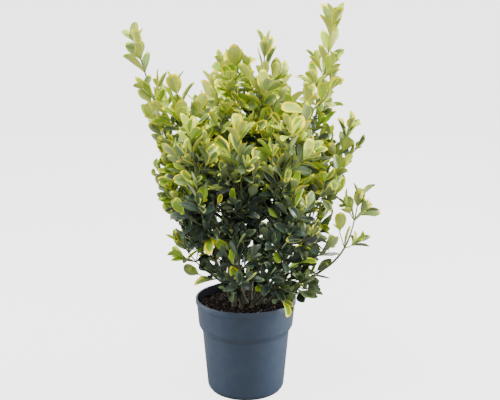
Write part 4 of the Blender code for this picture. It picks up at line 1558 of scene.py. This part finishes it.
# Which shoots' leaves go together in one piece
LEAF_GROUPS = {
    "leaves_left": ("left_",),
    "leaves_right": ("right_",),
    "leaves_middle": ("middle_", "midleft_"),
    "leaves_front": ("front_",),
    "leaves_back_left": ("back_left",),
    "leaves_back_right": ("back_right", "back_mid"),
    "leaves_low": ("low_",),
    "leaves_back_low": ("back_low",),
}


def grow_crown():
    """First the limbs and the shoots' axes take their places, and then the twigs and leaves grow."""
    crown = Crown()
    for shoot in SHOOTS:
        line, radii = axis_of(shoot)
        crown.add_line(line, radii, YOUNG_TWIG if shoot.height > YOUNG_TWIG_HEIGHT else OLD_TWIG)
        if shoot.bare:
            limb, limb_radii, _ = limb_line(shoot)
            points = [Vector(point) for point in limb[::LIMB_STEP]]
            for (a, b), radius in zip(zip(points, points[1:]), limb_radii[::LIMB_STEP]):
                crown.remember(*strip_of(a, b, radius))
    for shoot in SHOOTS:
        grow_shoot(crown, shoot)
    return crown


def make_twigs(crown):
    heap = Heap()
    for line, radii, slot in crown.twigs:
        points = close_ends(tube_points(line, radii, TWIG_SIDES), TWIG_SIDES)
        heap.add(points, tube_faces(len(line) + 2, TWIG_SIDES), slot)
    finishes = [
        twig_material("twig_young", (0.110, 0.150, 0.060), (0.190, 0.240, 0.095)),
        twig_material("twig_old", (0.075, 0.085, 0.040), (0.150, 0.160, 0.075)),
    ]
    add_piece("twigs", heap.mesh("twigs"), finishes)


def make_leaves(crown):
    finishes = leaf_materials()
    for number, (name, starts) in enumerate(LEAF_GROUPS.items()):
        members = [shoot for shoot in SHOOTS if shoot.name.startswith(starts)]
        leaves = [leaf for shoot in members for leaf in crown.leaves[shoot.name]]
        nodes = ["foliage_" + shoot.name for shoot in members]
        add_piece(name, leaf_mesh(name, leaves, number), finishes, nodes)


# Stage, light and camera


def seen_bright(tree, strength, seen_strength):
    """A value: strength for the light that a surface gives, seen_strength where it is looked at."""
    ray = tree.nodes.new("ShaderNodeLightPath")
    node = tree.nodes.new("ShaderNodeMapRange")
    node.inputs["To Min"].default_value = strength
    node.inputs["To Max"].default_value = seen_strength
    tree.links.new(ray.outputs["Is Camera Ray"], node.inputs["Value"])
    return node.outputs["Result"]


def make_stage():
    """A plain pale floor and surroundings."""
    bpy.ops.mesh.primitive_circle_add(vertices=96, radius=FLOOR_RADIUS, fill_type="NGON")
    floor = bpy.context.object
    floor.name = "floor"
    finish, tree, shader = shader_material("floor", (0.22, 0.22, 0.22), 1.0)
    shader.inputs["Emission Color"].default_value = (1, 1, 1, 1)
    tree.links.new(seen_bright(tree, 0.0, SEEN_WHITE), shader.inputs["Emission Strength"])
    floor.data.materials.append(finish)
    floor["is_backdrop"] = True
    world = bpy.data.worlds.new("studio")
    world.use_nodes = True
    bpy.context.scene.world = world
    tree = world.node_tree
    background = tree.nodes["Background"]
    background.inputs["Color"].default_value = (1, 1, 1, 1)
    tree.links.new(seen_bright(tree, WORLD_STRENGTH, SEEN_WHITE), background.inputs["Strength"])


def area_light(name, place, target, size, power):
    light = bpy.data.lights.new(name, "AREA")
    light.shape = "DISK"
    light.size = size
    light.energy = power
    holder = bpy.data.objects.new(name, light)
    holder.location = place
    holder.rotation_euler = (Vector(target) - Vector(place)).to_track_quat("-Z", "Y").to_euler()
    bpy.context.scene.collection.objects.link(holder)


def make_lights():
    for lamp in LAMPS:
        area_light(*lamp)


def make_camera():
    camera = bpy.data.cameras.new("camera")
    camera.sensor_width = SENSOR_WIDTH
    camera.lens = SENSOR_WIDTH * FOCAL_PIXELS / IMAGE_WIDTH
    camera.shift_x = (IMAGE_WIDTH / 2 - AXIS_COLUMN) / IMAGE_WIDTH
    holder = bpy.data.objects.new("camera", camera)
    holder.location = CAMERA_PLACE
    holder.rotation_euler = (math.pi / 2 - CAMERA_TILT, 0, 0)
    bpy.context.scene.collection.objects.link(holder)
    bpy.context.scene.camera = holder


def main():
    make_camera()
    make_stage()
    make_lights()
    make_pot()
    make_compost()
    make_bits()
    make_bark()
    crown = grow_crown()
    make_twigs(crown)
    make_leaves(crown)


main()

lo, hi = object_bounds()
{"cad": [list(CAD_BOX[0]), list(CAD_BOX[1])], "visual": [list(lo), list(hi)]}
